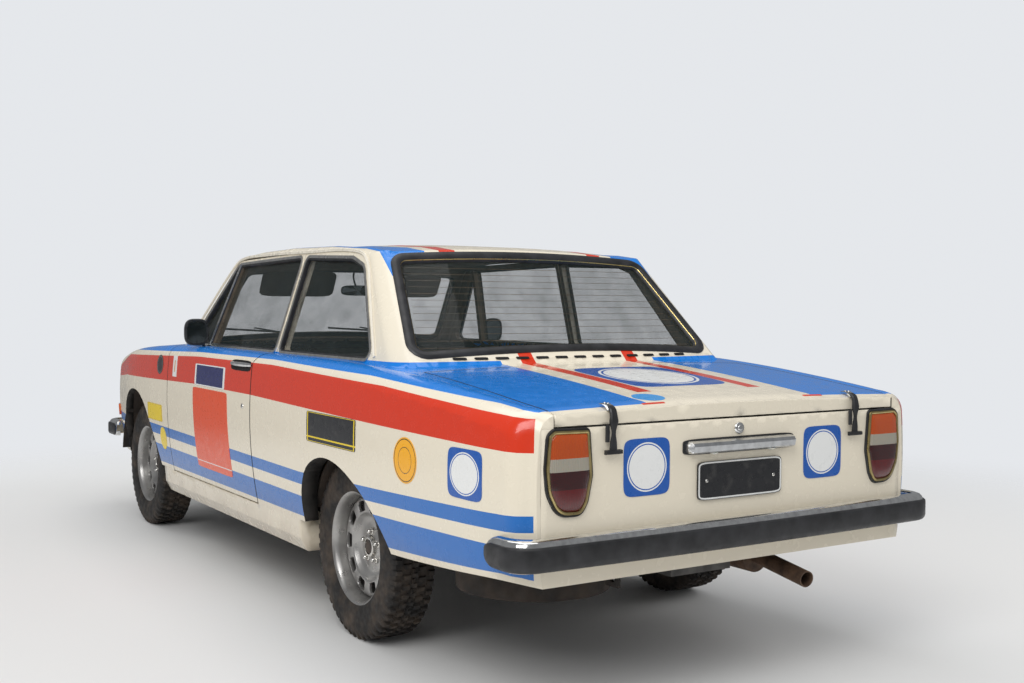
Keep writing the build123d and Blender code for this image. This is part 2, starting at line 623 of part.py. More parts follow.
# Exhaust, with its silencer under the boot floor, and the fuel tank
pipe_route = [(1420, -170 - PIPE_R - SEAT_GAP, 470), (1150, -230, 222), (-1380, -230, 222), (-1570, -300, 350)]
exhaust = rod((-1560, -300, 350), (-2010, -300, 350), SILENCER_R)
for start, end in zip(pipe_route, pipe_route[1:]):
    exhaust += rod(start, end, PIPE_R)
for bend in pipe_route[1:-1]:
    exhaust += Pos(*bend) * Sphere(PIPE_R + 2)
exhaust += block(-1800, -1780, -312, -288, 400, BOOT_FLOOR_Z - FLOOR_T)
exhaust += rod((-2010, -300, 348), (TAIL_PIPE_X, -272, 318), TAIL_PIPE_R)
exhaust -= rod((-2060, -295, 343), (TAIL_PIPE_X - 30, -269, 315), TAIL_PIPE_R - 4)
pieces["exhaust"] = exhaust
pieces["fuel_tank"] = block(-1990, -1560, -200, 60, 310, BOOT_FLOOR_Z - FLOOR_T)


def bumper_outline(face_x, hand, half_end, half_side, side_x, inset):
    """Return a bumper's plan outline, inset from its outer face: hand is 1 at the nose, -1 at the tail."""
    corner = (side_x, half_side - inset)
    turn = (face_x - hand * 105, half_side - inset)
    bend = (face_x - hand * (36 + 0.8 * inset), half_side - 32 - 0.75 * inset)
    end = (face_x - hand * (14 + inset), half_end - 0.6 * inset)
    middle = (face_x - hand * inset, 0)
    right = [(px, -py) for px, py in (corner, turn, bend, end)]
    edges = [
        Line(corner, turn),
        ThreePointArc(turn, bend, end),
        ThreePointArc(end, middle, right[3]),
        ThreePointArc(right[3], right[2], right[1]),
        Line(right[1], right[0]),
        Line(right[0], corner),
    ]
    return make_face(edges)


def bumper(face_x, hand, low_z, half_end, half_side, side_x):
    """Return a wrap-round bumper bar."""
    outer = extrude(bumper_outline(face_x, hand, half_end, half_side, side_x, 0), BUMPER_H)
    inside_x = side_x - hand * 60
    inner = extrude(bumper_outline(face_x, hand, half_end, half_side, inside_x, BUMPER_T), BUMPER_H)
    return Pos(0, 0, low_z) * (outer - inner)


rear_bumper = bumper(-BUMPER_FRONT_X, -1, REAR_BUMPER_Z, 772, 868, -2128)
front_bumper = bumper(BUMPER_FRONT_X, 1, FRONT_BUMPER_Z, 714, 808, 2092)
for hand in (1, -1):
    y = hand * 430
    bracket_y = (y - 25, y + 25)
    rear_z = (REAR_BUMPER_Z + 20, REAR_BUMPER_Z + 60)
    front_z = (FRONT_BUMPER_Z + 20, FRONT_BUMPER_Z + 60)
    rear_bumper += block(-BUMPER_FRONT_X + 20, REAR_FACE_X, *bracket_y, *rear_z)
    front_bumper += block(FRONT_FACE_X, BUMPER_FRONT_X - 20, *bracket_y, *front_z)
pieces["rear_bumper"] = rear_bumper
pieces["front_bumper"] = front_bumper

# Lamps: lenses follow the body's corners and stand proud of it
proud = lower_form(-LENS_PROUD / 30, -LENS_PROUD, -LENS_PROUD) - lower
tail_outline = [(588, 845), (722, 848), (733, 740), (722, 655), (688, 606), (606, 606), (576, 715)]
tail_face = make_face(Polyline(*tail_outline, close=True))
tail_prism = Pos(REAR_FACE_X - 40, 0, 0) * extrude(Plane.YZ * tail_face, 78)
tail_lamp = proud & tail_prism
pieces["tail_lamps"] = Compound([tail_lamp, mirrored(tail_lamp)])
side_lamp = proud & block(2140, 2300, 590, 800, 538, 600)
pieces["front_indicators"] = Compound([side_lamp, mirrored(side_lamp)])

grille = block(GRILLE_X, GRILLE_X + 14, -GRILLE_HALF, GRILLE_HALF, GRILLE_LOW_Z, GRILLE_HIGH_Z)
grille_inner_y = (-GRILLE_HALF + 12, GRILLE_HALF - 12)
grille -= block(GRILLE_X, GRILLE_X + 14, *grille_inner_y, GRILLE_LOW_Z + 12, GRILLE_HIGH_Z - 12)
step_z = (GRILLE_HIGH_Z - GRILLE_LOW_Z - 24) / GRILLE_BARS
for i in range(1, GRILLE_BARS):
    z = GRILLE_LOW_Z + 12 + i * step_z
    grille += block(GRILLE_X, GRILLE_X + 14, -GRILLE_HALF + 6, GRILLE_HALF - 6, z - 2.5, z + 2.5)
step_y = 2 * (GRILLE_HALF - 12) / GRILLE_POSTS
for i in range(1, GRILLE_POSTS):
    y = -GRILLE_HALF + 12 + i * step_y
    grille += block(GRILLE_X + 2, GRILLE_X + 10, y - 2.5, y + 2.5, GRILLE_LOW_Z + 6, GRILLE_HIGH_Z - 6)
pieces["grille"] = grille
lamps = []
for hand in (1, -1):
    inner_y, outer_y = sorted((hand * (GRILLE_HALF + SEAT_GAP), hand * GRILLE_Y))
    bezel = block(GRILLE_X, GRILLE_X + 14, inner_y, outer_y, GRILLE_LOW_Z, GRILLE_HIGH_Z)
    middle_z = (GRILLE_LOW_Z + GRILLE_HIGH_Z) / 2
    lamp = Pos(-40, 0, 0) * extrude(Plane.YZ * Circle(HEADLAMP_R), 72)
    lamp = chamfer(lamp.edges().sort_by(Axis.X)[-1], 16)
    lamps.append(bezel + Pos(GRILLE_X, hand * HEADLAMP_Y, middle_z) * lamp)
pieces["headlamps"] = Compound(lamps)
plate = block(REAR_FACE_X - 8, REAR_FACE_X, -175, 175, 606, 724)
plate += block(REAR_FACE_X - 30, REAR_FACE_X, -225, 225, 752, 788)
pieces["plate_and_lamp"] = plate
straps = []
for hand in (1, -1):
    y = hand * 505
    strap = block(-2262, -2246, y - 14, y + 14, 778, 905) + block(-2268, -2246, y - 30, y + 30, 770, 782)
    strap += block(-2262, -2215, y - 16, y + 16, 890, 917)
    straps.append(strap - pieces["boot_lid"])
pieces["lid_straps"] = Compound(straps)

# Wheels
tyre_half = TYRE_W / 2
tyre_profile = [
    (-RIM_HALF + 4.3, BEAD_R + 10),
    (-tyre_half + 2, 236),
    (-tyre_half + 4, 296),
    (-tyre_half + 32, TYRE_R),
]
tyre_profile += [(-y, r) for y, r in reversed(tyre_profile)]
tyre = wheel_ring(tyre_profile)
brake_drum = wheel_ring([(-74, 45), (-74, 120), (9, 120), (9, 112), (-66, 112), (-66, 45)])
brake_disc = wheel_ring([(-48, 45), (-48, 112), (-38, 112), (-38, 70), (0, 70), (0, 62), (-38, 62), (-38, 45)])
rim_profile = [
    (RIM_HALF, RIM_R),
    (66, 184),
    (26, 170),
    (24, 124),
    (4, 98),
    (4, 60),
    (14, HUB_BORE_R),
    (0, HUB_BORE_R),
    (-6, 100),
    (12, 124),
    (12, 168),
    (-66, 184),
    (-RIM_HALF, RIM_R),
    (-RIM_HALF + 4, BEAD_R + 9.7),
    (-50, BEAD_R - 2),
    (50, BEAD_R - 2),
    (RIM_HALF - 4, BEAD_R + 9.7),
]
for name, axle_x, brake in (("front", FRONT_AXLE_X, brake_disc), ("rear", REAR_AXLE_X, brake_drum)):
    hub = Pos(axle_x, WHEEL_Y, TYRE_R)
    add_pair(f"tyre_{name}", hub * tyre)
    rim = wheel_ring(rim_profile) + brake
    for i in range(SLOT_COUNT):
        angle = 360 * i / SLOT_COUNT
        slot = extrude(Plane.XZ * (Pos(0, SLOT_R) * Rectangle(44, 22)), 120, both=True)
        rim -= Rot(0, angle, 0) * slot
    add_pair(f"rim_{name}", hub * rim)

# Cabin fittings
pieces["dashboard"] = block(560, 760, -640, 640, 760, 930) + block(760, FLOOR_FRONT_X, -600, 600, 900, 930)
column = Pos(*WHEEL_HUB) * Rot(0, COLUMN_SLOPE, 0) * block(20, 300, -24, 24, -24, 24)
pieces["dashboard"] += column
wheel_plane = Pos(*WHEEL_HUB) * Rot(0, COLUMN_SLOPE, 0) * Rot(0, 90, 0)
steering_ring = Circle(STEERING_R + 11) - Circle(STEERING_R - 11)
steering = wheel_plane * Pos(0, 0, -9) * extrude(steering_ring, 18)
steering += wheel_plane * Pos(0, 0, -20) * extrude(Circle(34), 40 - SEAT_GAP)
for angle in (90, 210, 330):
    spoke = Rot(0, 0, angle) * block(20, STEERING_R, -14, 14, -5, 5)
    steering += wheel_plane * spoke
pieces["steering_wheel"] = steering
seats = []
for hand in (1, -1):
    y = hand * SEAT_Y
    cushion = block(-130, 370, y - 245, y + 245, 372, 500)
    back = Pos(-100, y, 425) * Rot(0, -18, 0) * block(-110, 0, -240, 240, 0, 520)
    rails = block(-60, 300, y - 200, y + 200, SILL_Z + FLOOR_T, 372)
    seats.append(cushion + back + rails)
pieces["front_seats"] = Compound(seats)
bench = block(-1130 + 60, KICK_X + 20, -HOUSE_IN_Y, HOUSE_IN_Y, BOOT_FLOOR_Z, 560)
bench += Pos(-1056.6, 0, 540) * Rot(0, -14, 0) * block(-90, 20, -HOUSE_IN_Y, HOUSE_IN_Y, 0, 380)
pieces["rear_seat"] = bench
mirror_head = extrude(Plane(origin=(544, 818, 1058), z_dir=(1, 0, 0)) * RectangleRounded(127, 117, 40), 30)
mirror_head = chamfer(mirror_head.faces().sort_by(Axis.X)[-1].edges(), 12)
mirror_foot = block(548, 570, 776, 792, 984, 1010)
add_pair("mirror", mirror_head + mirror_foot - pieces["door_left"])

os.makedirs("parts", exist_ok=True)
for name, solid in pieces.items():
    export_step(solid, f"parts/{name}.step")
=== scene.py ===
import bmesh
import bpy
import numpy as np
from mathutils import Matrix, Vector


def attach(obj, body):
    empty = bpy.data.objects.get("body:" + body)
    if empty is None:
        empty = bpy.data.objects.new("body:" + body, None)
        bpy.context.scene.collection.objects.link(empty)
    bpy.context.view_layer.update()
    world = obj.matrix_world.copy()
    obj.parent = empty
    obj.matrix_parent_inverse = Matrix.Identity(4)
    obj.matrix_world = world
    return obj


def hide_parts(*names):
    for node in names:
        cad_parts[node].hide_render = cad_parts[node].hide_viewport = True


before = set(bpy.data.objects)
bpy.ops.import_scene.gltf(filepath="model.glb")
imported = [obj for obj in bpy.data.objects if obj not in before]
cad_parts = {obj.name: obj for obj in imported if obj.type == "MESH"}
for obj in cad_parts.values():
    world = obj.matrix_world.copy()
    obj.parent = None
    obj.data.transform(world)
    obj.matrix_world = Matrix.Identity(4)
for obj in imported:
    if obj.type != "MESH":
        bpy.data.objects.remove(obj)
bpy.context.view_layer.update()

# Studio: the car stands on a plain pale floor under soft lights. The camera is at the photograph's
# place behind the left rear corner, with the lens and the small shift that its fitted view needs.
CAMERA_AT = Vector((-4.9839, 2.6000, 1.2035))
YAW, PITCH, ROLL = np.radians((32.76, -1.76, 0.35))
LENS_MM = 42.05
SHIFT = (-0.0028, -0.0016)
FLOOR_HALF = 14
FLOOR_COLOUR = (0.72, 0.715, 0.70, 1)
WORLD_COLOUR = (0.80, 0.82, 0.85, 1)
WORLD_LIGHT = 0.62
BACKDROP_LIGHT = 0.98
MIRRORED_SHARE = 0.45
FLOOR_FADE = (2.7, 5.8)
LIGHTS_AIM = Vector((0, 0, 0.6))


def new_material(name):
    """Return an empty node material and its Principled shader."""
    material = bpy.data.materials.new(name)
    material.use_nodes = True
    return material, material.node_tree.nodes["Principled BSDF"]


def camera_turn():
    """Return the turn matrix of a camera that looks along the fitted yaw, pitch and roll."""
    forward = Vector((np.cos(YAW) * np.cos(PITCH), -np.sin(YAW) * np.cos(PITCH), np.sin(PITCH)))
    right = Vector((-np.sin(YAW), -np.cos(YAW), 0))
    up = right.cross(forward)
    rolled_right = np.cos(ROLL) * right + np.sin(ROLL) * up
    rolled_up = -np.sin(ROLL) * right + np.cos(ROLL) * up
    return Matrix((rolled_right, rolled_up, -forward)).transposed()


camera_data = bpy.data.cameras.new("camera")
camera_data.lens = LENS_MM
camera_data.sensor_width = 36
camera_data.shift_x, camera_data.shift_y = SHIFT
camera = bpy.data.objects.new("camera", camera_data)
camera.matrix_world = Matrix.Translation(CAMERA_AT) @ camera_turn().to_4x4()
bpy.context.scene.collection.objects.link(camera)
bpy.context.scene.camera = camera
bpy.context.scene.view_settings.view_transform = "Standard"

floor_mesh = bpy.data.meshes.new("floor")
corners = [(x * FLOOR_HALF, y * FLOOR_HALF, 0) for x, y in ((-1, -1), (1, -1), (1, 1), (-1, 1))]
floor_mesh.from_pydata(corners, [], [(0, 1, 2, 3)])
floor = bpy.data.objects.new("floor", floor_mesh)
bpy.context.scene.collection.objects.link(floor)
floor_material, floor_shader = new_material("floor_paint")
floor_shader.inputs["Base Color"].default_value = FLOOR_COLOUR
floor_shader.inputs["Roughness"].default_value = 0.7
floor_tree = floor_material.node_tree
floor_place = floor_tree.nodes.new("ShaderNodeTexCoord")
floor_reach = floor_tree.nodes.new("ShaderNodeVectorMath")
floor_reach.operation = "LENGTH"
floor_tree.links.new(floor_place.outputs["Object"], floor_reach.inputs[0])
floor_fade = floor_tree.nodes.new("ShaderNodeMapRange")
floor_fade.interpolation_type = "SMOOTHSTEP"
floor_fade.inputs["From Min"].default_value, floor_fade.inputs["From Max"].default_value = FLOOR_FADE
floor_tree.links.new(floor_reach.outputs["Value"], floor_fade.inputs["Value"])
floor_mix = floor_tree.nodes.new("ShaderNodeMixShader")
floor_clear = floor_tree.nodes.new("ShaderNodeBsdfTransparent")
floor_tree.links.new(floor_fade.outputs["Result"], floor_mix.inputs["Fac"])
floor_tree.links.new(floor_shader.outputs["BSDF"], floor_mix.inputs[1])
floor_tree.links.new(floor_clear.outputs["BSDF"], floor_mix.inputs[2])
floor_tree.links.new(floor_mix.outputs["Shader"], floor_tree.nodes["Material Output"].inputs["Surface"])
floor_mesh.materials.append(floor_material)

world = bpy.data.worlds.new("studio")
world.use_nodes = True
bpy.context.scene.world = world
sky = world.node_tree.nodes["Background"]
sky.inputs["Color"].default_value = WORLD_COLOUR
links = world.node_tree.links
paths = world.node_tree.nodes.new("ShaderNodeLightPath")
seen = world.node_tree.nodes.new("ShaderNodeMath")
seen.operation = "MAXIMUM"
links.new(paths.outputs["Is Camera Ray"], seen.inputs[0])
links.new(paths.outputs["Is Transmission Ray"], seen.inputs[1])
strength = world.node_tree.nodes.new("ShaderNodeMapRange")
strength.inputs["To Min"].default_value = WORLD_LIGHT
strength.inputs["To Max"].default_value = BACKDROP_LIGHT
links.new(seen.outputs[0], strength.inputs["Value"])
mirrored = world.node_tree.nodes.new("ShaderNodeMapRange")
mirrored.inputs["To Min"].default_value = 1
mirrored.inputs["To Max"].default_value = MIRRORED_SHARE
links.new(paths.outputs["Is Glossy Ray"], mirrored.inputs["Value"])
dimmed = world.node_tree.nodes.new("ShaderNodeMath")
dimmed.operation = "MULTIPLY"
links.new(strength.outputs["Result"], dimmed.inputs[0])
links.new(mirrored.outputs["Result"], dimmed.inputs[1])
links.new(dimmed.outputs[0], sky.inputs["Strength"])

# name, place, size in metres, power in watts
STUDIO_LIGHTS = [
    ("key", (-5.0, 5.0, 5.5), (4.5, 4.5), 330),
    ("top", (0.0, 0.0, 6.5), (7.0, 4.0), 130),
    ("fill", (-4.0, -7.0, 4.5), (4.0, 4.0), 190),
    ("front", (7.0, 2.0, 4.5), (4.0, 4.0), 150),
]
for name, place, size, power in STUDIO_LIGHTS:
    light = bpy.data.lights.new(name, "AREA")
    light.shape = "RECTANGLE"
    light.size, light.size_y = size
    light.energy = power
    lamp = bpy.data.objects.new(name, light)
    turn = (LIGHTS_AIM - Vector(place)).to_track_quat("-Z", "Y")
    lamp.matrix_world = Matrix.Translation(place) @ turn.to_matrix().to_4x4()
    lamp.visible_glossy = name in ("key", "top")
    bpy.context.scene.collection.objects.link(lamp)

# Body panels: pressed steel, welded, hung or bolted together, sprayed cream with hand-masked red and
# blue bands. Each is a copy of its CAD panel, laid on the smooth surface that its sections stand for.

# Lower body sections in metres: x, z of lower edge, half width at lower edge, widest, at shoulder
# foot, at shoulder top, z of shoulder top, z on the centre line
SECTIONS = np.array([
    (2.235, 0.350, 0.660, 0.700, 0.696, 0.640, 0.842, 0.852),
    (2.205, 0.346, 0.696, 0.738, 0.732, 0.672, 0.858, 0.868),
    (2.130, 0.345, 0.722, 0.762, 0.755, 0.700, 0.878, 0.890),
    (1.950, 0.350, 0.756, 0.795, 0.786, 0.728, 0.906, 0.924),
    (1.650, 0.370, 0.805, 0.842, 0.830, 0.762, 0.940, 0.962),
    (1.200, 0.375, 0.830, 0.866, 0.855, 0.785, 0.972, 0.998),
    (0.850, 0.375, 0.832, 0.868, 0.858, 0.790, 0.985, 1.012),
    (-0.300, 0.375, 0.832, 0.868, 0.858, 0.787, 0.992, 1.015),
    (-1.150, 0.375, 0.832, 0.867, 0.856, 0.768, 0.986, 1.006),
    (-1.500, 0.380, 0.830, 0.862, 0.850, 0.748, 0.968, 0.982),
    (-1.850, 0.398, 0.820, 0.848, 0.838, 0.732, 0.938, 0.952),
    (-2.130, 0.416, 0.800, 0.828, 0.820, 0.716, 0.908, 0.922),
    (-2.205, 0.416, 0.782, 0.808, 0.800, 0.706, 0.900, 0.912),
    (-2.240, 0.405, 0.738, 0.760, 0.752, 0.690, 0.890, 0.902),
])[::-1]
WIDE_Z = 0.740
SHOULDER_DROP = 0.058
ARC_STEPS = 24
ON_SKIN = 0.009
LONG_EDGE = 0.045
WELD = 2e-5
SPLITS = 7
SHARP = np.radians(32)
SIDES = (("left", 1), ("right", -1))


def smooth_between(x, knots, values):
    """Return values at x on a cubic through the knots, its slope at each knot the mean of its sides."""
    step = np.diff(knots)
    rise = np.diff(values, axis=0) / step[:, None]
    slope = np.vstack([rise[:1], (rise[:-1] + rise[1:]) / 2, rise[-1:]])
    i = np.clip(np.searchsorted(knots, x) - 1, 0, len(knots) - 2)
    h = step[i][:, None]
    t = np.clip((x - knots[i]) / step[i], 0, 1)[:, None]
    a, b = values[i], values[i + 1]
    return (
        a * (2 * t**3 - 3 * t**2 + 1)
        + h * slope[i] * (t**3 - 2 * t**2 + t)
        + b * (3 * t**2 - 2 * t**3)
        + h * slope[i + 1] * (t**3 - t**2)
    )


def points_of(x, y, z):
    """Return points from their x, y and z, each of them a number or an array."""
    return np.stack(np.broadcast_arrays(x, y, z), -1).astype(float)


def run_length(points):
    """Return the length run along a line of points up to each of them."""
    return np.concatenate([[0], np.cumsum(np.linalg.norm(np.diff(points, axis=0), axis=1))])


def arc_through(a, b, c, s):
    """Return points at shares s along the circle through a, b and c: centre from the two bisectors."""
    ab, bc = b - a, c - b
    across = 2 * (ab[:, 0] * bc[:, 1] - ab[:, 1] * bc[:, 0])
    pa, pb, pc = (a**2).sum(1), (b**2).sum(1), (c**2).sum(1)
    cx = (pa * (b[:, 1] - c[:, 1]) + pb * (c[:, 1] - a[:, 1]) + pc * (a[:, 1] - b[:, 1])) / across
    cy = (pa * (c[:, 0] - b[:, 0]) + pb * (a[:, 0] - c[:, 0]) + pc * (b[:, 0] - a[:, 0])) / across
    centre = np.stack([cx, cy], 1)
    radius = np.linalg.norm(a - centre, axis=1)
    start = np.arctan2(*(a - centre).T[::-1])
    turn = (np.arctan2(*(c - centre).T[::-1]) - start + np.pi) % (2 * np.pi) - np.pi
    angle = start[:, None] + turn[:, None] * s[None, :]
    return centre[:, None, :] + radius[:, None, None] * np.stack([np.cos(angle), np.sin(angle)], -1)


def section_curve(rows):
    """Return each row's half outline, y and z from the lower edge up the side and over to the middle."""
    z_low, y_low, y_wide, y_band, y_top, z_top, z_mid = rows.T
    z_band = z_top - SHOULDER_DROP
    low = np.stack([y_low, z_low], 1)
    wide = np.stack([y_wide, np.minimum(WIDE_Z, (z_low + z_band) / 2 + 0.09)], 1)
    band = np.stack([y_band, z_band], 1)
    turn = np.stack([y_band - 0.3 * (y_band - y_top), z_top - 0.28 * SHOULDER_DROP], 1)
    top = np.stack([y_top, z_top], 1)
    crown = np.stack([0 * y_top, z_mid], 1)
    over = np.stack([-y_top, z_top], 1)
    s = np.linspace(0, 1, ARC_STEPS + 1)
    side = arc_through(low, wide, band, s)
    shoulder = arc_through(band, turn, top, s)[:, 1:]
    roof = arc_through(top, crown, over, s / 2)[:, 1:]
    return np.concatenate([side, shoulder, roof], axis=1)


KNOT_CURVES = section_curve(SECTIONS[:, 1:])


def lay_on_body(points):
    """Return points moved from the straight-ruled form between sections to the smooth one, the outward
    normals there, and which points lay on the form at all.

    Each point takes the nearest station of its own ruled section, and the same station of the smooth
    section gives the shift. The normal is the cross product of the smooth form's two tangents.
    """
    x, side = points[:, 0], np.sign(points[:, 1] + 1e-9)
    flat = np.stack([np.abs(points[:, 1]), points[:, 2]], 1)
    knots = SECTIONS[:, 0]
    i = np.clip(np.searchsorted(knots, x) - 1, 0, len(knots) - 2)
    t = np.clip((x - knots[i]) / (knots[i + 1] - knots[i]), 0, 1)[:, None, None]
    ruled = KNOT_CURVES[i] * (1 - t) + KNOT_CURVES[i + 1] * t
    a, b = ruled[:, :-1], ruled[:, 1:]
    run = b - a
    along = ((flat[:, None] - a) * run).sum(2) / (run**2).sum(2)
    along = np.clip(along, 0, 1)
    gap = np.linalg.norm(a + run * along[..., None] - flat[:, None], axis=2)
    best = gap.argmin(1)
    rows = np.arange(len(x))
    share = along[rows, best][:, None]
    near = gap[rows, best] < ON_SKIN
    near &= (x > knots[0] - 0.0005) & (x < knots[-1] + 0.0005)

    def station(curve):
        return curve[rows, best] * (1 - share) + curve[rows, best + 1] * share

    half = 0.01
    here = section_curve(smooth_between(x, knots, SECTIONS[:, 1:]))
    ahead = section_curve(smooth_between(np.clip(x + half, knots[0], knots[-1]), knots, SECTIONS[:, 1:]))
    behind = section_curve(smooth_between(np.clip(x - half, knots[0], knots[-1]), knots, SECTIONS[:, 1:]))
    shift = station(here) - station(ruled)
    up = here[rows, best + 1] - here[rows, best]
    lengthwise = (station(ahead) - station(behind)) / (2 * half)
    tangent_x = points_of(1, *lengthwise.T)
    tangent_up = points_of(0, *up.T)
    normal = np.cross(tangent_up, tangent_x)
    normal /= np.linalg.norm(normal, axis=1)[:, None]
    normal[:, 1] *= side
    moved = points.copy()
    moved[near, 1] += (side * shift[:, 0])[near]
    moved[near, 2] += shift[near, 1]
    return moved, normal, near


def refined_copy(node, longest):
    """Return a merged copy of a CAD node's mesh with no edge much longer than the given length."""
    form = bmesh.new()
    form.from_mesh(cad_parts[node].data)
    bmesh.ops.remove_doubles(form, verts=form.verts, dist=WELD)
    for _ in range(SPLITS):
        long_edges = [edge for edge in form.edges if edge.calc_length() > longest]
        if not long_edges:
            break
        bmesh.ops.subdivide_edges(form, edges=long_edges, cuts=1)
        bmesh.ops.triangulate(form, faces=form.faces)
    mesh = bpy.data.meshes.new(node + "_skin")
    form.to_mesh(mesh)
    form.free()
    return mesh


def place(mesh, body, slot, *replaced):
    """Link a finished mesh as a piece that rides on a body and stands for CAD nodes."""
    piece = bpy.data.objects.new(mesh.name, mesh)
    bpy.context.scene.collection.objects.link(piece)
    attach(piece, body)
    if replaced:
        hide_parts(*replaced)
    return piece


def read_points(mesh):
    """Return a mesh's vertex places as rows of x, y and z."""
    flat = np.empty(len(mesh.vertices) * 3)
    mesh.vertices.foreach_get("co", flat)
    return flat.reshape(-1, 3)


def corner_vertices(mesh):
    """Return the vertex of each face corner."""
    corners = np.empty(len(mesh.loops), int)
    mesh.loops.foreach_get("vertex_index", corners)
    return corners


def face_normals(mesh):
    """Return the normal of each face."""
    normals = np.empty(len(mesh.polygons) * 3)
    mesh.polygons.foreach_get("normal", normals)
    return normals.reshape(-1, 3)


# Heights of the painted bands' edges, as x and z points along the car's side
RED_TOP = [(2.24, 0.800), (1.706, 0.910), (0.408, 0.950), (-0.495, 0.954), (-1.448, 0.930), (-2.24, 0.880)]
RED_LOW = [(2.24, 0.760), (1.706, 0.798), (0.468, 0.823), (-0.287, 0.822), (-2.24, 0.787)]
SHOULDER_LINE = [
    (2.24, 0.850), (1.706, 0.936), (0.408, 0.970), (-0.495, 0.974), (-1.346, 0.957), (-2.05, 0.915),
    (-2.26, 0.892)
]
PAIR_TOP = [(2.24, 0.560), (1.21, 0.584), (-0.79, 0.567), (-1.29, 0.584), (-2.24, 0.612)]
CREAM_GAP = 0.047
PAIR_SPLIT = [(2.24, 0.500), (0.84, 0.484), (-0.785, 0.474), (-1.41, 0.498), (-2.09, 0.515), (-2.24, 0.520)]
CREAM = (0.80, 0.724, 0.580)
RED = (0.66, 0.036, 0.008)
SKY_BLUE = (0.001, 0.190, 0.65)
DEEP_BLUE = (0.006, 0.140, 0.48)
RED_STRIPE = (0.205, 0.262)
BLUE_IN = 0.345
ROOF_RED = (0.312, 0.380)
ROOF_BLUE = (0.440, 0.612)
FRONT_END = 2.175
TAIL_END = -1.469
BLUE_ENDS = (-2.212, 2.15)
STRIPE_END = -2.06
STRIPE_FOOT = 0.86
FLANK_IN = 0.60
ROOF_FOOT = 1.30
FOOT_OF_PILLARS = 0.998
BROAD_LOW = 0.020


def height_over(points, line):
    """Return how far each point stands above a line given by x and z points."""
    line = np.array(sorted(line))
    return points[:, 2] - np.interp(points[:, 0], line[:, 0], line[:, 1])


class Mask:
    """A chain of Math nodes that is 1 where a painted shape lies and 0 elsewhere."""

    def __init__(self, tree, socket):
        self.tree = tree
        self.socket = socket

    def math(self, operation, other):
        node = self.tree.nodes.new("ShaderNodeMath")
        node.operation = operation
        self.tree.links.new(self.socket, node.inputs[0])
        if isinstance(other, Mask):
            self.tree.links.new(other.socket, node.inputs[1])
        else:
            node.inputs[1].default_value = other
        return Mask(self.tree, node.outputs[0])

    def over(self, value):
        return self.math("GREATER_THAN", value)

    def under(self, value):
        return self.math("LESS_THAN", value)

    def between(self, low, high):
        return self.over(low) * self.under(high)

    def __mul__(self, other):
        return self.math("MULTIPLY", other)

    def __add__(self, other):
        return self.math("MAXIMUM", other)


def split_up(tree, socket):
    """Return a vector socket's x, y and z as masks."""
    split = tree.nodes.new("ShaderNodeSeparateXYZ")
    tree.links.new(socket, split.inputs[0])
    return [Mask(tree, output) for output in split.outputs]


def tone_of(tree, colour):
    """Return the socket of one plain colour."""
    tone = tree.nodes.new("ShaderNodeRGB")
    tone.outputs[0].default_value = (*colour, 1)
    return tone.outputs[0]


def mixed(tree, below, colour, mask):
    """Return a colour socket: the colour where the mask is 1, and what is below it elsewhere."""
    mix = tree.nodes.new("ShaderNodeMix")
    mix.data_type = "RGBA"
    tree.links.new(mask.socket, mix.inputs["Factor"])
    tree.links.new(below, mix.inputs["A"])
    mix.inputs["B"].default_value = (*colour, 1)
    return mix.outputs["Result"]


def noise_of(tree, coordinate, scale, detail, stretch=None):
    """Return a noise node's value socket at a scale in waves per metre."""
    if stretch:
        mapping = tree.nodes.new("ShaderNodeMapping")
        mapping.inputs["Scale"].default_value = stretch
        tree.links.new(coordinate, mapping.inputs["Vector"])
        coordinate = mapping.outputs["Vector"]
    noise = tree.nodes.new("ShaderNodeTexNoise")
    noise.inputs["Scale"].default_value = scale
    noise.inputs["Detail"].default_value = detail
    tree.links.new(coordinate, noise.inputs["Vector"])
    return noise.outputs["Fac"]


def ranged(tree, value, low, high, to_low, to_high):
    """Return a value mapped from one range to another, clamped."""
    node = tree.nodes.new("ShaderNodeMapRange")
    for key, number in (("From Min", low), ("From Max", high), ("To Min", to_low), ("To Max", to_high)):
        node.inputs[key].default_value = number
    tree.links.new(value, node.inputs["Value"])
    return node.outputs["Result"]


def bumped(tree, shader, height, strength, distance):
    """Give a shader a bump from a height socket."""
    bump = tree.nodes.new("ShaderNodeBump")
    bump.inputs["Strength"].default_value = strength
    bump.inputs["Distance"].default_value = distance
    tree.links.new(height, bump.inputs["Height"])
    tree.links.new(bump.outputs["Normal"], shader.inputs["Normal"])


def two_tone(tree, shader, value, low, dark, high, light):
    """Colour a shader by a value: dark up to low, light from high on, blended between them."""
    ramp = tree.nodes.new("ShaderNodeValToRGB")
    first, last = ramp.color_ramp.elements
    first.position, first.color = low, (*dark, 1)
    last.position, last.color = high, (*light, 1)
    tree.links.new(value, ramp.inputs["Fac"])
    tree.links.new(ramp.outputs["Color"], shader.inputs["Base Color"])


def roughened(tree, shader, coordinate, scale, least, most, detail=4, upper=0.7):
    """Give a shader a roughness that a noise moves between two values."""
    haze = ranged(tree, noise_of(tree, coordinate, scale, detail), 0.3, upper, least, most)
    tree.links.new(haze, shader.inputs["Roughness"])


def object_point(tree):
    """Return the Object coordinate socket and its x, y and z as masks."""
    coordinate = tree.nodes.new("ShaderNodeTexCoord").outputs["Object"]
    return coordinate, split_up(tree, coordinate)


def blank_finish(name):
    """Return an empty material, its shader and tree, the Object coordinate, and x, y and z as masks."""
    material, shader = new_material(name)
    tree = material.node_tree
    return material, shader, tree, *object_point(tree)


def patches(tree, coordinate, scale, detail, low, high, most):
    """Return a mask in noise patches, from 0 where the noise is low up to most where it is high."""
    return Mask(tree, ranged(tree, noise_of(tree, coordinate, scale, detail), low, high, 0.0, most))


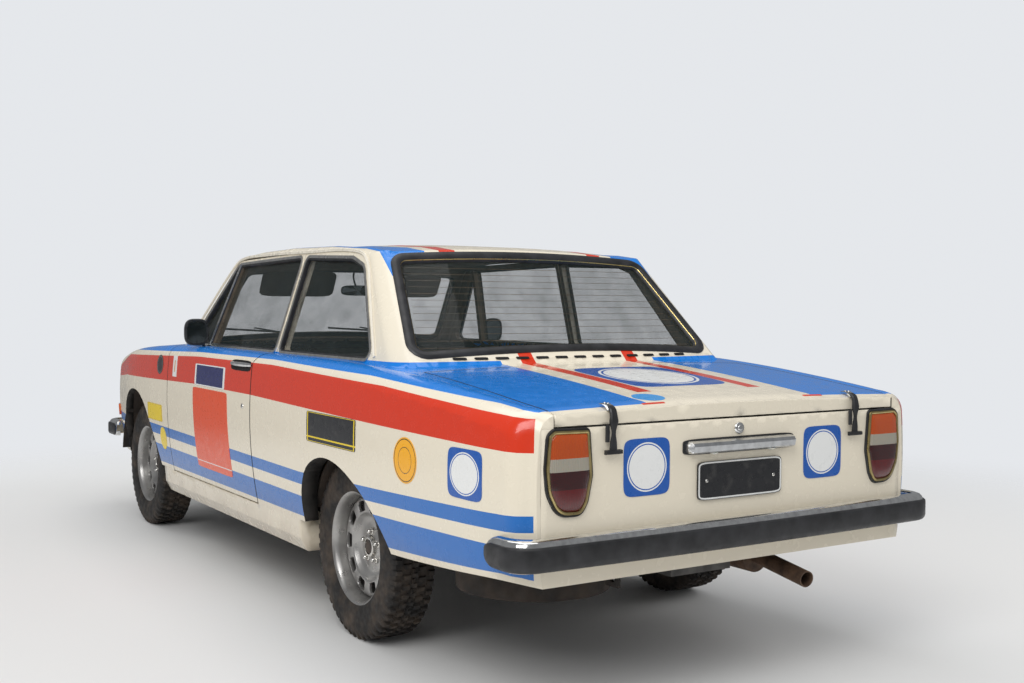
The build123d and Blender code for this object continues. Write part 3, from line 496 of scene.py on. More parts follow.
def set_values(shader, values):
    """Set a shader's inputs by name."""
    for name, value in values.items():
        shader.inputs[name].default_value = value


def body_paint():
    """Return the banded body paint: masks from x, |y| and the stored heights over the bands' edges."""
    material, shader, tree, coordinate, (x, y, z) = blank_finish("body_paint")
    wide = y.math("ABSOLUTE", 0)
    heights = []
    for name in ("over_red", "over_pair"):
        stored = tree.nodes.new("ShaderNodeAttribute")
        stored.attribute_name = name
        heights += split_up(tree, stored.outputs["Vector"])
    over_red_top, over_red_low, over_shoulder, over_pair, over_split, over_edge = heights
    body = z.under(FOOT_OF_PILLARS)
    ahead = x.math("ADD", wide).over(TAIL_END)
    flank = wide.over(FLANK_IN) * x.under(FRONT_END)
    blue_top = wide.over(BLUE_IN) * over_shoulder.over(0) * body * x.between(*BLUE_ENDS)
    roof_blue = wide.between(*ROOF_BLUE) * z.over(ROOF_FOOT)
    roof_red = wide.between(*ROOF_RED) * z.over(ROOF_FOOT)
    colour = mixed(tree, tone_of(tree, CREAM), SKY_BLUE, blue_top + roof_blue)
    centre_red = wide.between(*RED_STRIPE) * (z.over(STRIPE_FOOT) * x.over(STRIPE_END)) * z.under(ROOF_FOOT)
    red_band = over_red_top.under(0) * over_red_low.over(0) * flank * ahead
    colour = mixed(tree, colour, RED, centre_red + roof_red + red_band)
    pair_upper = over_pair.under(0) * over_pair.over(-CREAM_GAP) * flank * ahead
    pair_lower = over_split.under(0) * over_edge.over(BROAD_LOW) * flank * ahead
    colour = mixed(tree, colour, DEEP_BLUE, pair_upper + pair_lower)
    grime = Mask(tree, ranged(tree, z.socket, 0.24, 0.46, 0.55, 0.0))
    patch = Mask(tree, noise_of(tree, coordinate, 9, 6)).math("MULTIPLY", 1.3)
    colour = mixed(tree, colour, (0.24, 0.17, 0.11), grime * patch)
    tree.links.new(colour, shader.inputs["Base Color"])
    roughened(tree, shader, coordinate, 26, 0.16, 0.34, 5, 0.75)
    set_values(shader, {"Coat Weight": 0.28, "Coat Roughness": 0.05})
    bumped(tree, shader, noise_of(tree, coordinate, 380, 2), 0.03, 0.0005)
    return material


def dull_paint(name, dark, light, rough, scale=14):
    """Return a mottled paint between two colours, with a fine grain."""
    material, shader, tree, coordinate, _ = blank_finish(name)
    two_tone(tree, shader, noise_of(tree, coordinate, scale, 6), 0.32, dark, 0.72, light)
    roughened(tree, shader, coordinate, scale * 3, rough - 0.1, rough + 0.1)
    bumped(tree, shader, noise_of(tree, coordinate, 520, 3), 0.18, 0.0008)
    return material


PAINT = body_paint()
# Dark finish for the panels' backs; on the cut edges in the door and lid gaps it is painted shade, where
# the real edges are body colour.
PANEL_BACK_AND_GAP_SHADE = dull_paint("panel_back", (0.010, 0.009, 0.008), (0.032, 0.027, 0.023), 0.75)
HEADLINING = dull_paint("headlining", (0.17, 0.130, 0.090), (0.26, 0.205, 0.150), 0.85)
# node, body
PANELS = [
    ("roof", "root"), ("side_left", "root"), ("side_right", "root"), ("front_wing_left", "root"),
    ("front_wing_right", "root"), ("rear_panel", "root"), ("rear_deck", "root"), ("cowl", "root"),
    ("front_panel", "root"), ("door_left", "door_left"), ("door_right", "door_right"),
    ("bonnet", "bonnet"), ("boot_lid", "boot_lid"),
]
CABIN_MIDDLE = np.array((-0.35, 0, 1.05))
LOWER_BODY_TOP = 0.995
ARCH_RETURNS = [(1.03, 1.89, 0.742), (-1.55, -0.78, 0.652)]
# Where cut edges face the doors' and the lid's gaps: the doors' least half width, middle x and half
# length; the lid's rear and front x and least height. Then how squarely a face has to look one way.
DOOR_GAPS = (0.62, 0.17, 0.77)
LID_GAPS = (-2.19, -1.35, 0.80)
FAIRED_FACE, SHOWN_FACE, RETURN_FACE, EDGE_FACE, DECK_FACE = 0.8, -0.2, 0.6, 0.85, 0.35


def outward_of(points):
    """Return rough outward directions above the waist: away from the middle of the cabin."""
    away = (points - CABIN_MIDDLE) * (0.35, 1, 1)
    return away / np.linalg.norm(away, axis=1)[:, None]


# Height of the axles, then for each wheel arch its middle x and its corners as x and z
AXLE_HEIGHT = 0.324
ARCHES = [
    (1.52, [(1.040, 0.300), (1.075, 0.430), (1.180, 0.585), (1.330, 0.700), (1.500, 0.733),
            (1.660, 0.700), (1.790, 0.590), (1.860, 0.430), (1.880, 0.300)]),
    (-1.10, [(-0.788, 0.300), (-0.788, 0.480), (-0.845, 0.580), (-0.960, 0.636), (-1.090, 0.642),
             (-1.250, 0.592), (-1.370, 0.520), (-1.460, 0.430), (-1.540, 0.300)]),
]
ARCH_FADE = 0.13


def radius_at(angle, curve):
    """Return a curve's distance from the axle at each angle, measured from straight up."""
    around = np.arctan2(curve[:, 0], curve[:, 1])
    order = np.argsort(around)
    return np.interp(angle, around[order], np.hypot(*curve.T)[order])


def rounded_arches(points):
    """Return points moved away from each axle, so that an arch cut in straight lines becomes one smooth
    curve through the same corners. The move is the gap between the two at the point's own angle, and it
    fades out over a hand's breadth of panel above the arch."""
    moved = points.copy()
    for middle, corners in ARCHES:
        corners = np.array(corners) - (middle, AXLE_HEIGHT)
        length = run_length(corners)
        along = np.linspace(0, length[-1], 800)
        straight = np.stack([np.interp(along, length, corners[:, axis]) for axis in (0, 1)], 1)
        smooth = smooth_between(along, length, corners)
        arm = points[:, [0, 2]] - (middle, AXLE_HEIGHT)
        angle = np.arctan2(arm[:, 0], arm[:, 1])
        radius = np.hypot(arm[:, 0], arm[:, 1])
        cut = radius_at(angle, straight)
        share = np.clip(1 - (radius - cut) / ARCH_FADE, 0, 1)
        push = share * (radius_at(angle, smooth) - cut) / radius
        moved[:, [0, 2]] += push[:, None] * arm
    return moved


def panel_skin(node):
    """Return a painted panel's smooth mesh: outer faces painted and faired; backs, the arches' cut edges
    and the cut edges in the door and lid gaps dull, those in the gaps as painted shade.
    """
    mesh = refined_copy(node, LONG_EDGE)
    points = read_points(mesh)
    if "side" in node or "wing" in node:
        points = rounded_arches(points)
    points, normals, near = lay_on_body(points)
    mesh.vertices.foreach_set("co", points.ravel())
    mesh.update()
    corners = corner_vertices(mesh).reshape(-1, 3)
    flat = face_normals(mesh)
    middle = points[corners].mean(1)
    faired = near[corners].all(1) & ((normals[corners].mean(1) * flat).sum(1) > FAIRED_FACE)
    away = np.where(middle[:, 2:] < LOWER_BODY_TOP, normals[corners].mean(1), outward_of(middle))
    shown = faired | ((away * flat).sum(1) > SHOWN_FACE)
    for first, last, top in ARCH_RETURNS:
        inside = (middle[:, 0] > first) & (middle[:, 0] < last) & (middle[:, 2] < top)
        shown &= ~(inside & ~faired & (np.abs(flat[:, 1]) < RETURN_FACE))
    x, y, z = middle.T
    # Cut edges that face the door and lid gaps take the dark finish: painted shade in the gaps.
    by_door = (np.abs(y) > DOOR_GAPS[0]) & (np.abs(x - DOOR_GAPS[1]) < DOOR_GAPS[2]) & (z < LOWER_BODY_TOP)
    by_lid = (x > LID_GAPS[0]) & (x < LID_GAPS[1]) & (z > LID_GAPS[2])
    edge = (by_door & (np.abs(flat[:, 0]) > EDGE_FACE)) | (by_lid & (np.abs(flat[:, 1]) > EDGE_FACE))
    shown &= ~(edge & ~faired)
    if node == "rear_deck":
        shown &= flat[:, 2] > DECK_FACE
    for material in (PAINT, PANEL_BACK_AND_GAP_SHADE, HEADLINING):
        mesh.materials.append(material)
    behind = np.where(middle[:, 2] > LOWER_BODY_TOP, 2, 1)
    mesh.polygons.foreach_set("material_index", np.where(shown, 0, behind).astype(np.int32))
    mesh.polygons.foreach_set("use_smooth", np.ones(len(flat), bool))
    mesh.set_sharp_from_angle(angle=SHARP)
    shaded = np.empty(len(mesh.loops) * 3)
    mesh.corner_normals.foreach_get("vector", shaded)
    shaded = shaded.reshape(-1, 3, 3)
    shaded[faired] = normals[corners[faired]]
    mesh.normals_split_custom_set(shaded.reshape(-1, 3))
    for name, lines in (
        ("over_red", (RED_TOP, RED_LOW, SHOULDER_LINE)), ("over_pair", (PAIR_TOP, PAIR_SPLIT, None))
    ):
        lower_edge = points[:, 2] - np.interp(points[:, 0], SECTIONS[:, 0], SECTIONS[:, 1])
        columns = [height_over(points, line) if line else lower_edge for line in lines]
        stored = mesh.attributes.new(name, "FLOAT_VECTOR", "POINT")
        stored.data.foreach_set("vector", np.stack(columns, 1).ravel())
    return mesh


for node, body in PANELS:
    place(panel_skin(node), body, "body_paint", node)

# Window glass: toughened panes, the screens curved, let into rubber and faintly green at their edges.
# Each is a merged copy of its CAD pane with smooth normals, so that the reflections run clean.
def window_glass():
    """Return clear glass that mirrors more at a flat angle, with a trace of dust over it."""
    material, shader, tree, coordinate, _ = blank_finish("window_glass")
    facing = tree.nodes.new("ShaderNodeLayerWeight")
    facing.inputs["Blend"].default_value = 0.35
    cover = Mask(tree, ranged(tree, facing.outputs["Facing"], 0.0, 1.0, 0.12, 0.38))
    dust = patches(tree, coordinate, 7, 6, 0.45, 0.75, 0.10)
    tree.links.new(cover.math("ADD", dust).socket, shader.inputs["Alpha"])
    set_values(shader, {"Base Color": (0.030, 0.042, 0.040, 1), "Roughness": 0.012, "IOR": 1.5})
    return material


GLASS = window_glass()
PANE_EDGE = 0.12
PANES = [
    ("windscreen", "root"), ("rear_window", "root"), ("quarter_windows", "root"),
    ("door_glass_left", "door_left"), ("door_glass_right", "door_right"),
]
for node, body in PANES:
    pane = refined_copy(node, PANE_EDGE)
    pane.materials.append(GLASS)
    pane.polygons.foreach_set("use_smooth", np.ones(len(pane.polygons), bool))
    pane.set_sharp_from_angle(angle=SHARP)
    place(pane, body, "window_glass", node)


# Screen rubbers: thick black extruded rubber pressed over the panel's flange, with a thin gold-coloured
# filler line. The side windows have bright frames of rolled stainless steel over a thin seal.

# Cabin wall at two heights: z, front centre x, front corner, side start, side middle y, side end,
# rear corner, rear centre x
CABIN = np.array([
    (0.900, 1.074, 1.018, 0.696, 0.962, 0.783, 0.793, -1.347, 0.764, -1.441, 0.714, -1.494),
    (1.480, 0.461, 0.411, 0.557, 0.362, 0.612, 0.628, -0.820, 0.607, -0.895, 0.568, -0.932),
])
RUBBER_PROFILE = np.array([
    (-0.029, -0.012), (-0.026, -0.003), (-0.018, 0.004), (-0.004, 0.008), (0.008, 0.0075),
    (0.015, 0.003), (0.016, -0.001), (0.002, -0.003), (-0.001, -0.013), (-0.014, -0.016),
])
FILLER_PROFILE = np.array([(-0.0240, -0.003), (-0.0235, -0.0002), (-0.0220, 0.0016), (-0.0215, -0.001)])
SEAL_PROFILE = np.array([
    (-0.007, -0.013), (-0.006, -0.001), (0.000, 0.002), (0.002, -0.001), (0.000, -0.014)
])
FRAME_PROFILE = np.array([
    (0.0005, -0.001), (0.001, 0.0030), (0.004, 0.0048), (0.010, 0.0048), (0.0135, 0.003), (0.014, -0.001),
])
FEWEST_POINTS = 12
WALL_STEPS = 8
SCREEN_CORNER = 0.055
SCREEN_STEP = 0.02
DOOR_LIGHT = [(0.795, 1.003), (0.438, 1.370), (-0.334, 1.384), (-0.300, 1.003)]
QUARTER_LIGHT = [(-0.350, 1.003), (-0.384, 1.382), (-0.800, 1.368), (-0.905, 1.335), (-1.150, 1.003)]
SCREENS = {
    "windscreen": ((1.018, 0.900), (0.411, 1.480), (0.672, 0.580, 0.150, 0.660), 1),
    "rear": ((-1.441, 0.900), (-0.895, 1.480), (0.672, 0.574, 0.155, 0.648), -1),
}


def grid_faces(rows, columns, round_rows, round_columns):
    """Return the four corners of each cell of a grid, closed round either way where asked."""
    i = np.arange(rows if round_rows else rows - 1)[:, None]
    j = np.arange(columns if round_columns else columns - 1)[None, :]
    ahead, aside = (i + 1) % rows, (j + 1) % columns
    cells = [i * columns + j, ahead * columns + j, ahead * columns + aside, i * columns + aside]
    return np.stack(cells, -1).reshape(-1, 4)


class Grids:
    """Grids of points gathered for one mesh, each with the number of its material."""

    def __init__(self):
        self.points = []
        self.faces = []
        self.marks = []
        self.places = []
        self.count = 0

    def add(self, points, round_rows=False, round_columns=False, caps=False, mark=0, places=None):
        rows, columns = points.shape[:2]
        faces = (grid_faces(rows, columns, round_rows, round_columns) + self.count).tolist()
        if caps:
            first = self.count + np.arange(columns)
            faces.append(first[::-1].tolist())
            faces.append((first + (rows - 1) * columns).tolist())
        self.faces += faces
        self.marks += [mark] * len(faces)
        self.points.append(points.reshape(-1, 3))
        if places is not None:
            self.places.append(places.reshape(-1, 2))
        self.count += rows * columns
        return self

    def capped(self, points, **options):
        """Add a bar: rows of points closed into rings, with a face over each end."""
        return self.add(points, False, True, True, **options)

    def looped(self, points):
        """Add a grid that is closed round both ways."""
        return self.add(points, True, True)

    def bar(self, path, facing, profile):
        """Add a profile carried along an open path, with both ends closed."""
        return self.capped(swept(path, facing, profile))

    def frame(self, path, facing, profile, inside):
        """Add a profile carried round a closed path, its side turned away from the inside point."""
        return self.looped(swept(path, facing, profile, True, inside))

    def mesh(self, name, materials, sharp=SHARP, outward=None):
        """Make the mesh: doubles merged, faces turned outwards, smooth but for the sharp edges."""
        mesh = bpy.data.meshes.new(name)
        mesh.from_pydata(np.concatenate(self.points).tolist(), [], self.faces)
        mesh.polygons.foreach_set("material_index", np.array(self.marks, np.int32))
        if self.places:
            corners = corner_vertices(mesh)
            layer = mesh.uv_layers.new(name="place")
            layer.data.foreach_set("uv", np.concatenate(self.places)[corners].ravel())
        form = bmesh.new()
        form.from_mesh(mesh)
        bmesh.ops.remove_doubles(form, verts=form.verts, dist=1e-6)
        bmesh.ops.dissolve_degenerate(form, dist=1e-7, edges=form.edges)
        if outward is None:
            bmesh.ops.recalc_face_normals(form, faces=form.faces)
        form.to_mesh(mesh)
        form.free()
        if outward is not None:
            turned = face_normals(mesh) @ np.array(outward)
            if turned.mean() < 0:
                mesh.flip_normals()
        for material in materials if isinstance(materials, (list, tuple)) else [materials]:
            mesh.materials.append(material)
        mesh.polygons.foreach_set("use_smooth", np.ones(len(mesh.polygons), bool))
        mesh.set_sharp_from_angle(angle=sharp)
        return mesh

    def piece(self, name, body, slot, materials, replaced=(), sharp=SHARP, outward=None):
        """Make the mesh and place it as a piece."""
        return place(self.mesh(name, materials, sharp, outward), body, slot, *replaced)


def unit(vectors):
    """Return vectors at length one."""
    return vectors / np.linalg.norm(vectors, axis=-1, keepdims=True)


def swept(path, facing, profile, closed=False, inside=None):
    """Return a profile carried along a path: each point plus a times the side direction plus b times
    the facing one, where the side is tangent cross facing, turned away from the inside point."""
    tangent = np.roll(path, -1, 0) - np.roll(path, 1, 0) if closed else np.gradient(path, axis=0)
    facing = np.broadcast_to(np.asarray(facing, float), path.shape)
    side = unit(np.cross(tangent, facing))
    if inside is not None and (side * (path - inside)).sum() < 0:
        side = -side
    lift = unit(facing - (facing * unit(tangent)).sum(1, keepdims=True) * unit(tangent))
    return path[:, None] + profile[None, :, :1] * side[:, None] + profile[None, :, 1:] * lift[:, None]


def rounded_outline(corners, radius, step):
    """Return a closed outline with each corner turned by an arc, as points about a step apart."""
    corners = np.array(corners, float)
    radii = np.broadcast_to(np.array(radius, float), len(corners))
    points = []
    for corner, before, after, r in zip(corners, np.roll(corners, 1, 0), np.roll(corners, -1, 0), radii):
        inward, onward = unit(before - corner), unit(after - corner)
        half = np.arccos(np.clip(inward @ onward, -1, 1)) / 2
        cut = min(
            r / np.tan(half), 0.45 * min(np.linalg.norm(before - corner), np.linalg.norm(after - corner))
        )
        centre = corner + unit(inward + onward) * cut / np.cos(half)
        start, end = corner + inward * cut - centre, corner + onward * cut - centre
        turn = np.linspace(0, 1, 7)[:, None]
        bend = start * (1 - turn) + end * turn
        points.append(centre + unit(bend) * np.linalg.norm(start))
    ring = np.concatenate(points)
    ring = np.vstack([ring, ring[:1]])
    length = run_length(ring)
    count = max(FEWEST_POINTS, int(length[-1] / step))
    even = np.linspace(0, length[-1], count, endpoint=False)
    stations = np.unique(np.concatenate([even, length[:-1]]))
    stations = stations[np.concatenate([[True], np.diff(stations) > step * 0.12])]
    return np.stack([np.interp(stations, length, ring[:, k]) for k in range(ring.shape[1])], 1)


def crossing(curves, column, values):
    """Return each curve's point where one of its columns reaches a value, on the run between stations."""
    rising = curves[:, -1, column] > curves[:, 0, column]
    sign = np.where(rising, 1, -1)
    i = ((curves[..., column] * sign[:, None]) < (values * sign)[:, None]).sum(1) - 1
    i = np.clip(i, 0, curves.shape[1] - 2)
    rows = np.arange(len(values))
    a, b = curves[rows, i], curves[rows, i + 1]
    share = ((values - a[:, column]) / (b[:, column] - a[:, column]))[:, None]
    return a + (b - a) * share


def cabin_curves(z, part):
    """Return the plan curves of the cabin's wall at each height: its side, front or rear arc."""
    arcs = []
    shares = np.linspace(0, 1, 65)
    for row in CABIN:
        _, nose, fx, fy, sx, sy, my, ex, ey, rx, ry, tail = row
        ends = {
            "side": [(sx, sy), ((sx + ex) / 2, my), (ex, ey)],
            "front": [(fx, -fy), (nose, 0), (fx, fy)],
            "rear": [(rx, -ry), (tail, 0), (rx, ry)],
        }[part]
        a, b, c = [np.array([point]) for point in ends]
        arcs.append(arc_through(a, b, c, shares)[0])
    rise = ((z - CABIN[0, 0]) / (CABIN[1, 0] - CABIN[0, 0]))[:, None, None]
    return arcs[0] * (1 - rise) + arcs[1] * rise


def surface_facing(surface, u, v, axis):
    """Return a surface's unit normals: its height's slopes in u and v, by small differences."""
    small = 0.002
    slope_u = (surface(u + small, v) - surface(u - small, v)) / (2 * small)
    slope_v = (surface(u, v + small) - surface(u, v - small)) / (2 * small)
    normal = np.zeros((len(u), 3))
    others = [k for k in range(3) if k != axis]
    normal[:, axis] = 1
    normal[:, others[0]] = -slope_u
    normal[:, others[1]] = -slope_v
    return unit(normal)


def cabin_side(x, z):
    """Return the half width of the cabin's wall at x and z."""
    return crossing(cabin_curves(z, "side"), 0, x)[:, 1]


def on_cabin(outline, hand):
    """Return an outline of x and z laid on the cabin's left (1) or right (-1) wall, and its normals."""
    x, z = outline.T
    facing = surface_facing(cabin_side, x, z, 1)
    flip = np.array((1, hand, 1))
    return points_of(x, cabin_side(x, z), z) * flip, facing * flip


def screen_outline(foot, head, sizes, end):
    """Return a screen's rounded outline laid on the cabin's curved front (1) or rear (-1), and its
    normals. Each point runs square to the line from foot to head until it meets the wall."""
    half_low, half_high, low, high = sizes
    corners = [(-half_low, low), (half_low, low), (half_high, high), (-half_high, high)]
    flat = rounded_outline(corners, SCREEN_CORNER, SCREEN_STEP)
    foot, head = np.array(foot), np.array(head)
    rise = unit(head - foot)
    part = "front" if end > 0 else "rear"
    out = np.array((rise[1], -rise[0])) * end
    place_xz = foot + flat[:, 1:] * rise
    for _ in range(WALL_STEPS):
        wall = crossing(cabin_curves(place_xz[:, 1], part), 1, flat[:, 0])[:, 0]
        place_xz = place_xz + ((wall - place_xz[:, 0]) * out[0])[:, None] * out
    points = points_of(place_xz[:, 0], flat[:, 0], place_xz[:, 1])

    def wall_x(y, z):
        return crossing(cabin_curves(z, part), 1, y)[:, 0]

    facing = surface_facing(wall_x, points[:, 1], points[:, 2], 0) * end
    return points, facing


def bright_metal(name, colour, rough, brushed=0.0):
    """Return polished metal with fine scratches and a little haze."""
    material, shader, tree, coordinate, _ = blank_finish(name)
    set_values(shader, {"Metallic": 1})
    darker = [0.72 * channel for channel in colour]
    two_tone(tree, shader, noise_of(tree, coordinate, 40, 6), 0.25, darker, 0.6, colour)
    roughened(tree, shader, coordinate, 22, rough, rough + 0.14, 6, 0.75)
    bumped(tree, shader, noise_of(tree, coordinate, 600, 2, (1, 0.15, 1)), 0.03 + brushed, 0.0004)
    return material


RUBBER = dull_paint("black_rubber", (0.012, 0.012, 0.013), (0.0312, 0.0312, 0.0338), 0.42, 18)
STAINLESS = bright_metal("stainless_steel", (0.78, 0.76, 0.72), 0.16)
CHROME = bright_metal("chrome_plate", (0.86, 0.86, 0.85), 0.05)
GOLD = bright_metal("gold_filler", (0.80, 0.62, 0.24), 0.22)
for name, (foot, head, sizes, end) in SCREENS.items():
    points, facing = screen_outline(foot, head, sizes, end)
    middle = points.mean(0)
    seal = Grids().frame(points, facing, RUBBER_PROFILE, middle)
    seal.piece(name + "_rubber", "root", "grille_black", RUBBER)
    filler = Grids().frame(points, facing, FILLER_PROFILE, middle)
    filler.piece(name + "_filler", "root", "bumper_chrome", GOLD)
for side, hand in SIDES:
    for name, light, body in (("door", DOOR_LIGHT, "door_" + side), ("quarter", QUARTER_LIGHT, "root")):
        points, facing = on_cabin(rounded_outline(light, 0.022, 0.025), hand)
        middle = points.mean(0)
        seal = Grids().frame(points, facing, SEAL_PROFILE, middle)
        seal.piece(f"{name}_seal_{side}", body, "grille_black", RUBBER)
        frame_bar = Grids().frame(points, facing, FRAME_PROFILE, middle)
        frame_bar.piece(f"{name}_frame_{side}", body, "bumper_chrome", STAINLESS)

# Drip rail and vent-window bar: the rail is a folded steel channel spot-welded along the edge of the
# roof, painted cream; the bar is rolled stainless steel with a black seal each side.
RAIL_LINE = [
    (0.890, 0.985), (0.700, 1.180), (0.560, 1.318), (0.470, 1.386), (0.395, 1.401),
    (0.100, 1.408), (-0.400, 1.407), (-0.790, 1.400), (-0.880, 1.384), (-0.940, 1.342),
    (-1.010, 1.245), (-1.095, 1.125), (-1.178, 1.010),
]
RAIL_PROFILE = np.array([
    (-0.005, -0.002), (-0.006, 0.005), (-0.003, 0.007), (0.000, 0.004), (0.003, 0.007), (0.006, 0.005),
    (0.005, -0.002),
])
BAR_PROFILE = np.array([
    (-0.009, -0.004), (-0.008, 0.004), (-0.003, 0.006), (0.003, 0.006), (0.008, 0.004), (0.009, -0.004)
])
CREAM_PAINT = dull_paint("cream_trim_paint", (0.74, 0.69, 0.59), (0.80, 0.745, 0.635), 0.30)


def smooth_line(points, count):
    """Return an open line through points, on the same cubic as the body's sections."""
    points = np.array(points, float)
    length = run_length(points)
    return smooth_between(np.linspace(0, length[-1], count), length, points)


for side, hand in SIDES:
    points, facing = on_cabin(smooth_line(RAIL_LINE, 90), hand)
    rail = Grids().bar(points, facing, RAIL_PROFILE)
    rail.piece("drip_rail_" + side, "root", "body_paint", CREAM_PAINT)
    points, facing = on_cabin(smooth_line([(0.519, 0.998), (0.466, 1.188), (0.413, 1.374)], 24), hand)
    bar = Grids().bar(points, facing, BAR_PROFILE)
    bar.piece("vent_bar_" + side, "door_" + side, "bumper_chrome", STAINLESS)
    seal = Grids().bar(points, facing, BAR_PROFILE * (1.7, 0.5))
    seal.piece("vent_seal_" + side, "door_" + side, "grille_black", RUBBER)

# Rear window heater: thin lines of silver paste, screen printed on the inside of the rear window and
# baked into the glass. They show brown against the light.
HEATER_LINES = 13
HEATER_MARGIN = 0.045
HEATER_DEPTH = 0.0205
HEATER_LOW, HEATER_HIGH = 0.215, 0.615
HEATER_PROFILE = np.array([(-0.0006, -0.0004), (0.0006, -0.0004), (0.0006, 0.0004), (-0.0006, 0.0004)])
HEATER_PRINT = dull_paint("heater_print", (0.16, 0.09, 0.04), (0.30, 0.18, 0.09), 0.5)
foot, head, sizes, end = SCREENS["rear"]
rise = unit(np.array(head) - np.array(foot))
heater = Grids()
for height in np.linspace(HEATER_LOW, HEATER_HIGH, HEATER_LINES):
    z = foot[1] + rise[1] * height
    half = np.interp(height, sizes[2:], sizes[:2]) - HEATER_MARGIN
    y = np.linspace(-half, half, 30)
    wall = crossing(cabin_curves(np.full(30, z), "rear"), 1, y)[:, 0]
    inward = np.array((rise[1], 0, -rise[0]))
    line = points_of(wall, y, z) + inward * HEATER_DEPTH
    heater.bar(line, -inward, HEATER_PROFILE)
heater.piece("rear_window_heater", "root", "window_glass", HEATER_PRINT)

# Bumpers: a pressed steel channel, chrome plated and carried on two brackets, with a broad moulded facing
# of black rubber that wraps the tips and is bolted on from behind.

# node: x of the face, front (1) or rear (-1), height of the lower edge, half width at the face's end,
# half width at the side, x of the tip
BUMPER_PATHS = {
    "rear_bumper": (-2.3196, -1, 0.460, 0.772, 0.868, -2.128),
    "front_bumper": (2.320, 1, 0.415, 0.714, 0.808, 2.092),
}
BUMPER_CHANNEL = np.array([
    (-0.045, 0.094), (-0.030, 0.0935), (-0.019, 0.090), (-0.012, 0.083), (-0.009, 0.074), (-0.009, 0.014),
    (-0.014, 0.005), (-0.024, 0.001), (-0.045, 0.000), (-0.045, 0.003), (-0.024, 0.004), (-0.016, 0.008),
    (-0.012, 0.015), (-0.012, 0.073), (-0.015, 0.081), (-0.021, 0.087), (-0.031, 0.090), (-0.045, 0.091),
])
BUMPER_FACING = np.array([
    (-0.0095, 0.076), (-0.005, 0.075), (-0.001, 0.071), (0.000, 0.065), (0.000, 0.024), (-0.002, 0.015),
    (-0.007, 0.008), (-0.013, 0.005), (-0.0135, 0.012), (-0.0095, 0.020),
])
TIP_LENGTH = 0.045
BRACKET_Y = 0.430
BRACKET_HALF = (0.024, 0.018)


def bumper_line(face_x, hand, low_z, half_end, half_side, side_x):
    """Return a bumper's outer line in plan from its right tip to its left: a straight side, the corner's
    arc through three points, and the face's arc through the ends and the middle."""
    side = np.array([(side_x, half_side)])
    turn = np.array([(face_x - hand * 0.105, half_side)])
    bend = np.array([(face_x - hand * 0.036, half_side - 0.032)])
    end = np.array([(face_x - hand * 0.014, half_end)])
    middle = np.array([(face_x, 0)])
    flat = np.linspace(side[0], turn[0], 12)[:-1]
    corner = arc_through(turn, bend, end, np.linspace(0, 1, 18))[0][:-1]
    across = arc_through(end, middle, end * (1, -1), np.linspace(0, 1, 41))[0]
    left = np.concatenate([flat, corner])
    line = np.concatenate([left, across, (left * (1, -1))[::-1]])
    return np.column_stack([line, np.full(len(line), low_z)])


def bumper_sweep(path, profile):
    """Return a bumper profile swept along its path, drawn in to a rounded tip at both ends.

    Over the last TIP_LENGTH the profile shrinks about its middle by the square root of the way in."""
    out = unit(np.cross(np.gradient(path, axis=0), (0, 0, 1)))
    if (out * path).sum() < 0:
        out = -out
    length = run_length(path)
    near = np.minimum(length, length[-1] - length) / TIP_LENGTH
    share = np.sqrt(np.clip(1 - (1 - np.clip(near, 0, 1)) ** 2, 0.02, 1))
    middle_z = BUMPER_CHANNEL[:, 1].mean()
    z = middle_z + (profile[None, :, 1] - middle_z) * (0.35 + 0.65 * share[:, None])
    depth = profile[None, :, 0] * np.ones_like(z)
    depth = depth * (0.6 + 0.4 * share[:, None]) - 0.006 * (1 - share[:, None])
    return path[:, None] + depth[..., None] * out[:, None] + z[..., None] * np.array((0, 0, 1))


for node, sizes in BUMPER_PATHS.items():
    path = bumper_line(*sizes)
    channel = Grids().capped(bumper_sweep(path, BUMPER_CHANNEL))
    for hand in (1, -1):
        arm_x = np.linspace(sizes[0] - sizes[1] * 0.020, sizes[0] - sizes[1] * 0.082, 3)
        bracket = points_of(arm_x, hand * BRACKET_Y, sizes[2] + 0.040)
        bar = np.array([(-1, -1), (1, -1), (1, 1), (-1, 1)]) * BRACKET_HALF
        channel.bar(bracket, (0, 0, 1), bar)
    channel.piece(node + "_channel", "root", "bumper_chrome", CHROME, [node])
    facing = Grids().capped(bumper_sweep(path, BUMPER_FACING))
    facing.piece(node + "_facing", "root", "strap_rubber", RUBBER)

# Tail lamps: moulded acrylic lenses in amber, clear and two reds, on a brass-coloured rim that is
# bedded on a black gasket and screwed to the corner of the body.
TAIL_OUTLINE = [
    (0.586, 0.838), (0.590, 0.844), (0.706, 0.846), (0.723, 0.832), (0.731, 0.740),
    (0.724, 0.672), (0.690, 0.608), (0.612, 0.606), (0.592, 0.640), (0.576, 0.715),
]
TAIL_RADII = [0.006, 0.010, 0.014, 0.020, 0.120, 0.080, 0.060, 0.030, 0.060, 0.060]
LAMP_BANDS = [
    (0.768, (0.44, 0.062, 0.003)),
    (0.731, (0.34, 0.31, 0.25)),
    (0.680, (0.034, 0.001, 0.001)),
    (0.590, (0.100, 0.001, 0.002)),
]
LENS_RIM = np.array([(-0.009, 0.001), (-0.008, 0.010), (-0.004, 0.012), (0.000, 0.010), (0.002, 0.001)])
LENS_GASKET = np.array([(0.000, 0.000), (0.001, 0.006), (0.006, 0.006), (0.008, 0.000)])
LENS_CROWN = 0.012
LENS_SHARE = 0.94
LENS_RIBS = 54.1126
TAIL_CORNER_X = -2.2405
TAIL_CORNER_Y = 0.722
CORNER_RATE = 7.5


def tail_place(y, z, proud):
    """Return points of the body's rear corner at half width y and height z, moved out by proud.

    Past the end of the flat rear face the corner comes forward by the square of the way."""
    past = np.maximum(y - TAIL_CORNER_Y, 0)
    x = TAIL_CORNER_X + past**2 * CORNER_RATE
    facing = unit(points_of(-1, past * 2 * CORNER_RATE, 0))
    return points_of(x, y, z) + facing * np.asarray(proud)[..., None], facing


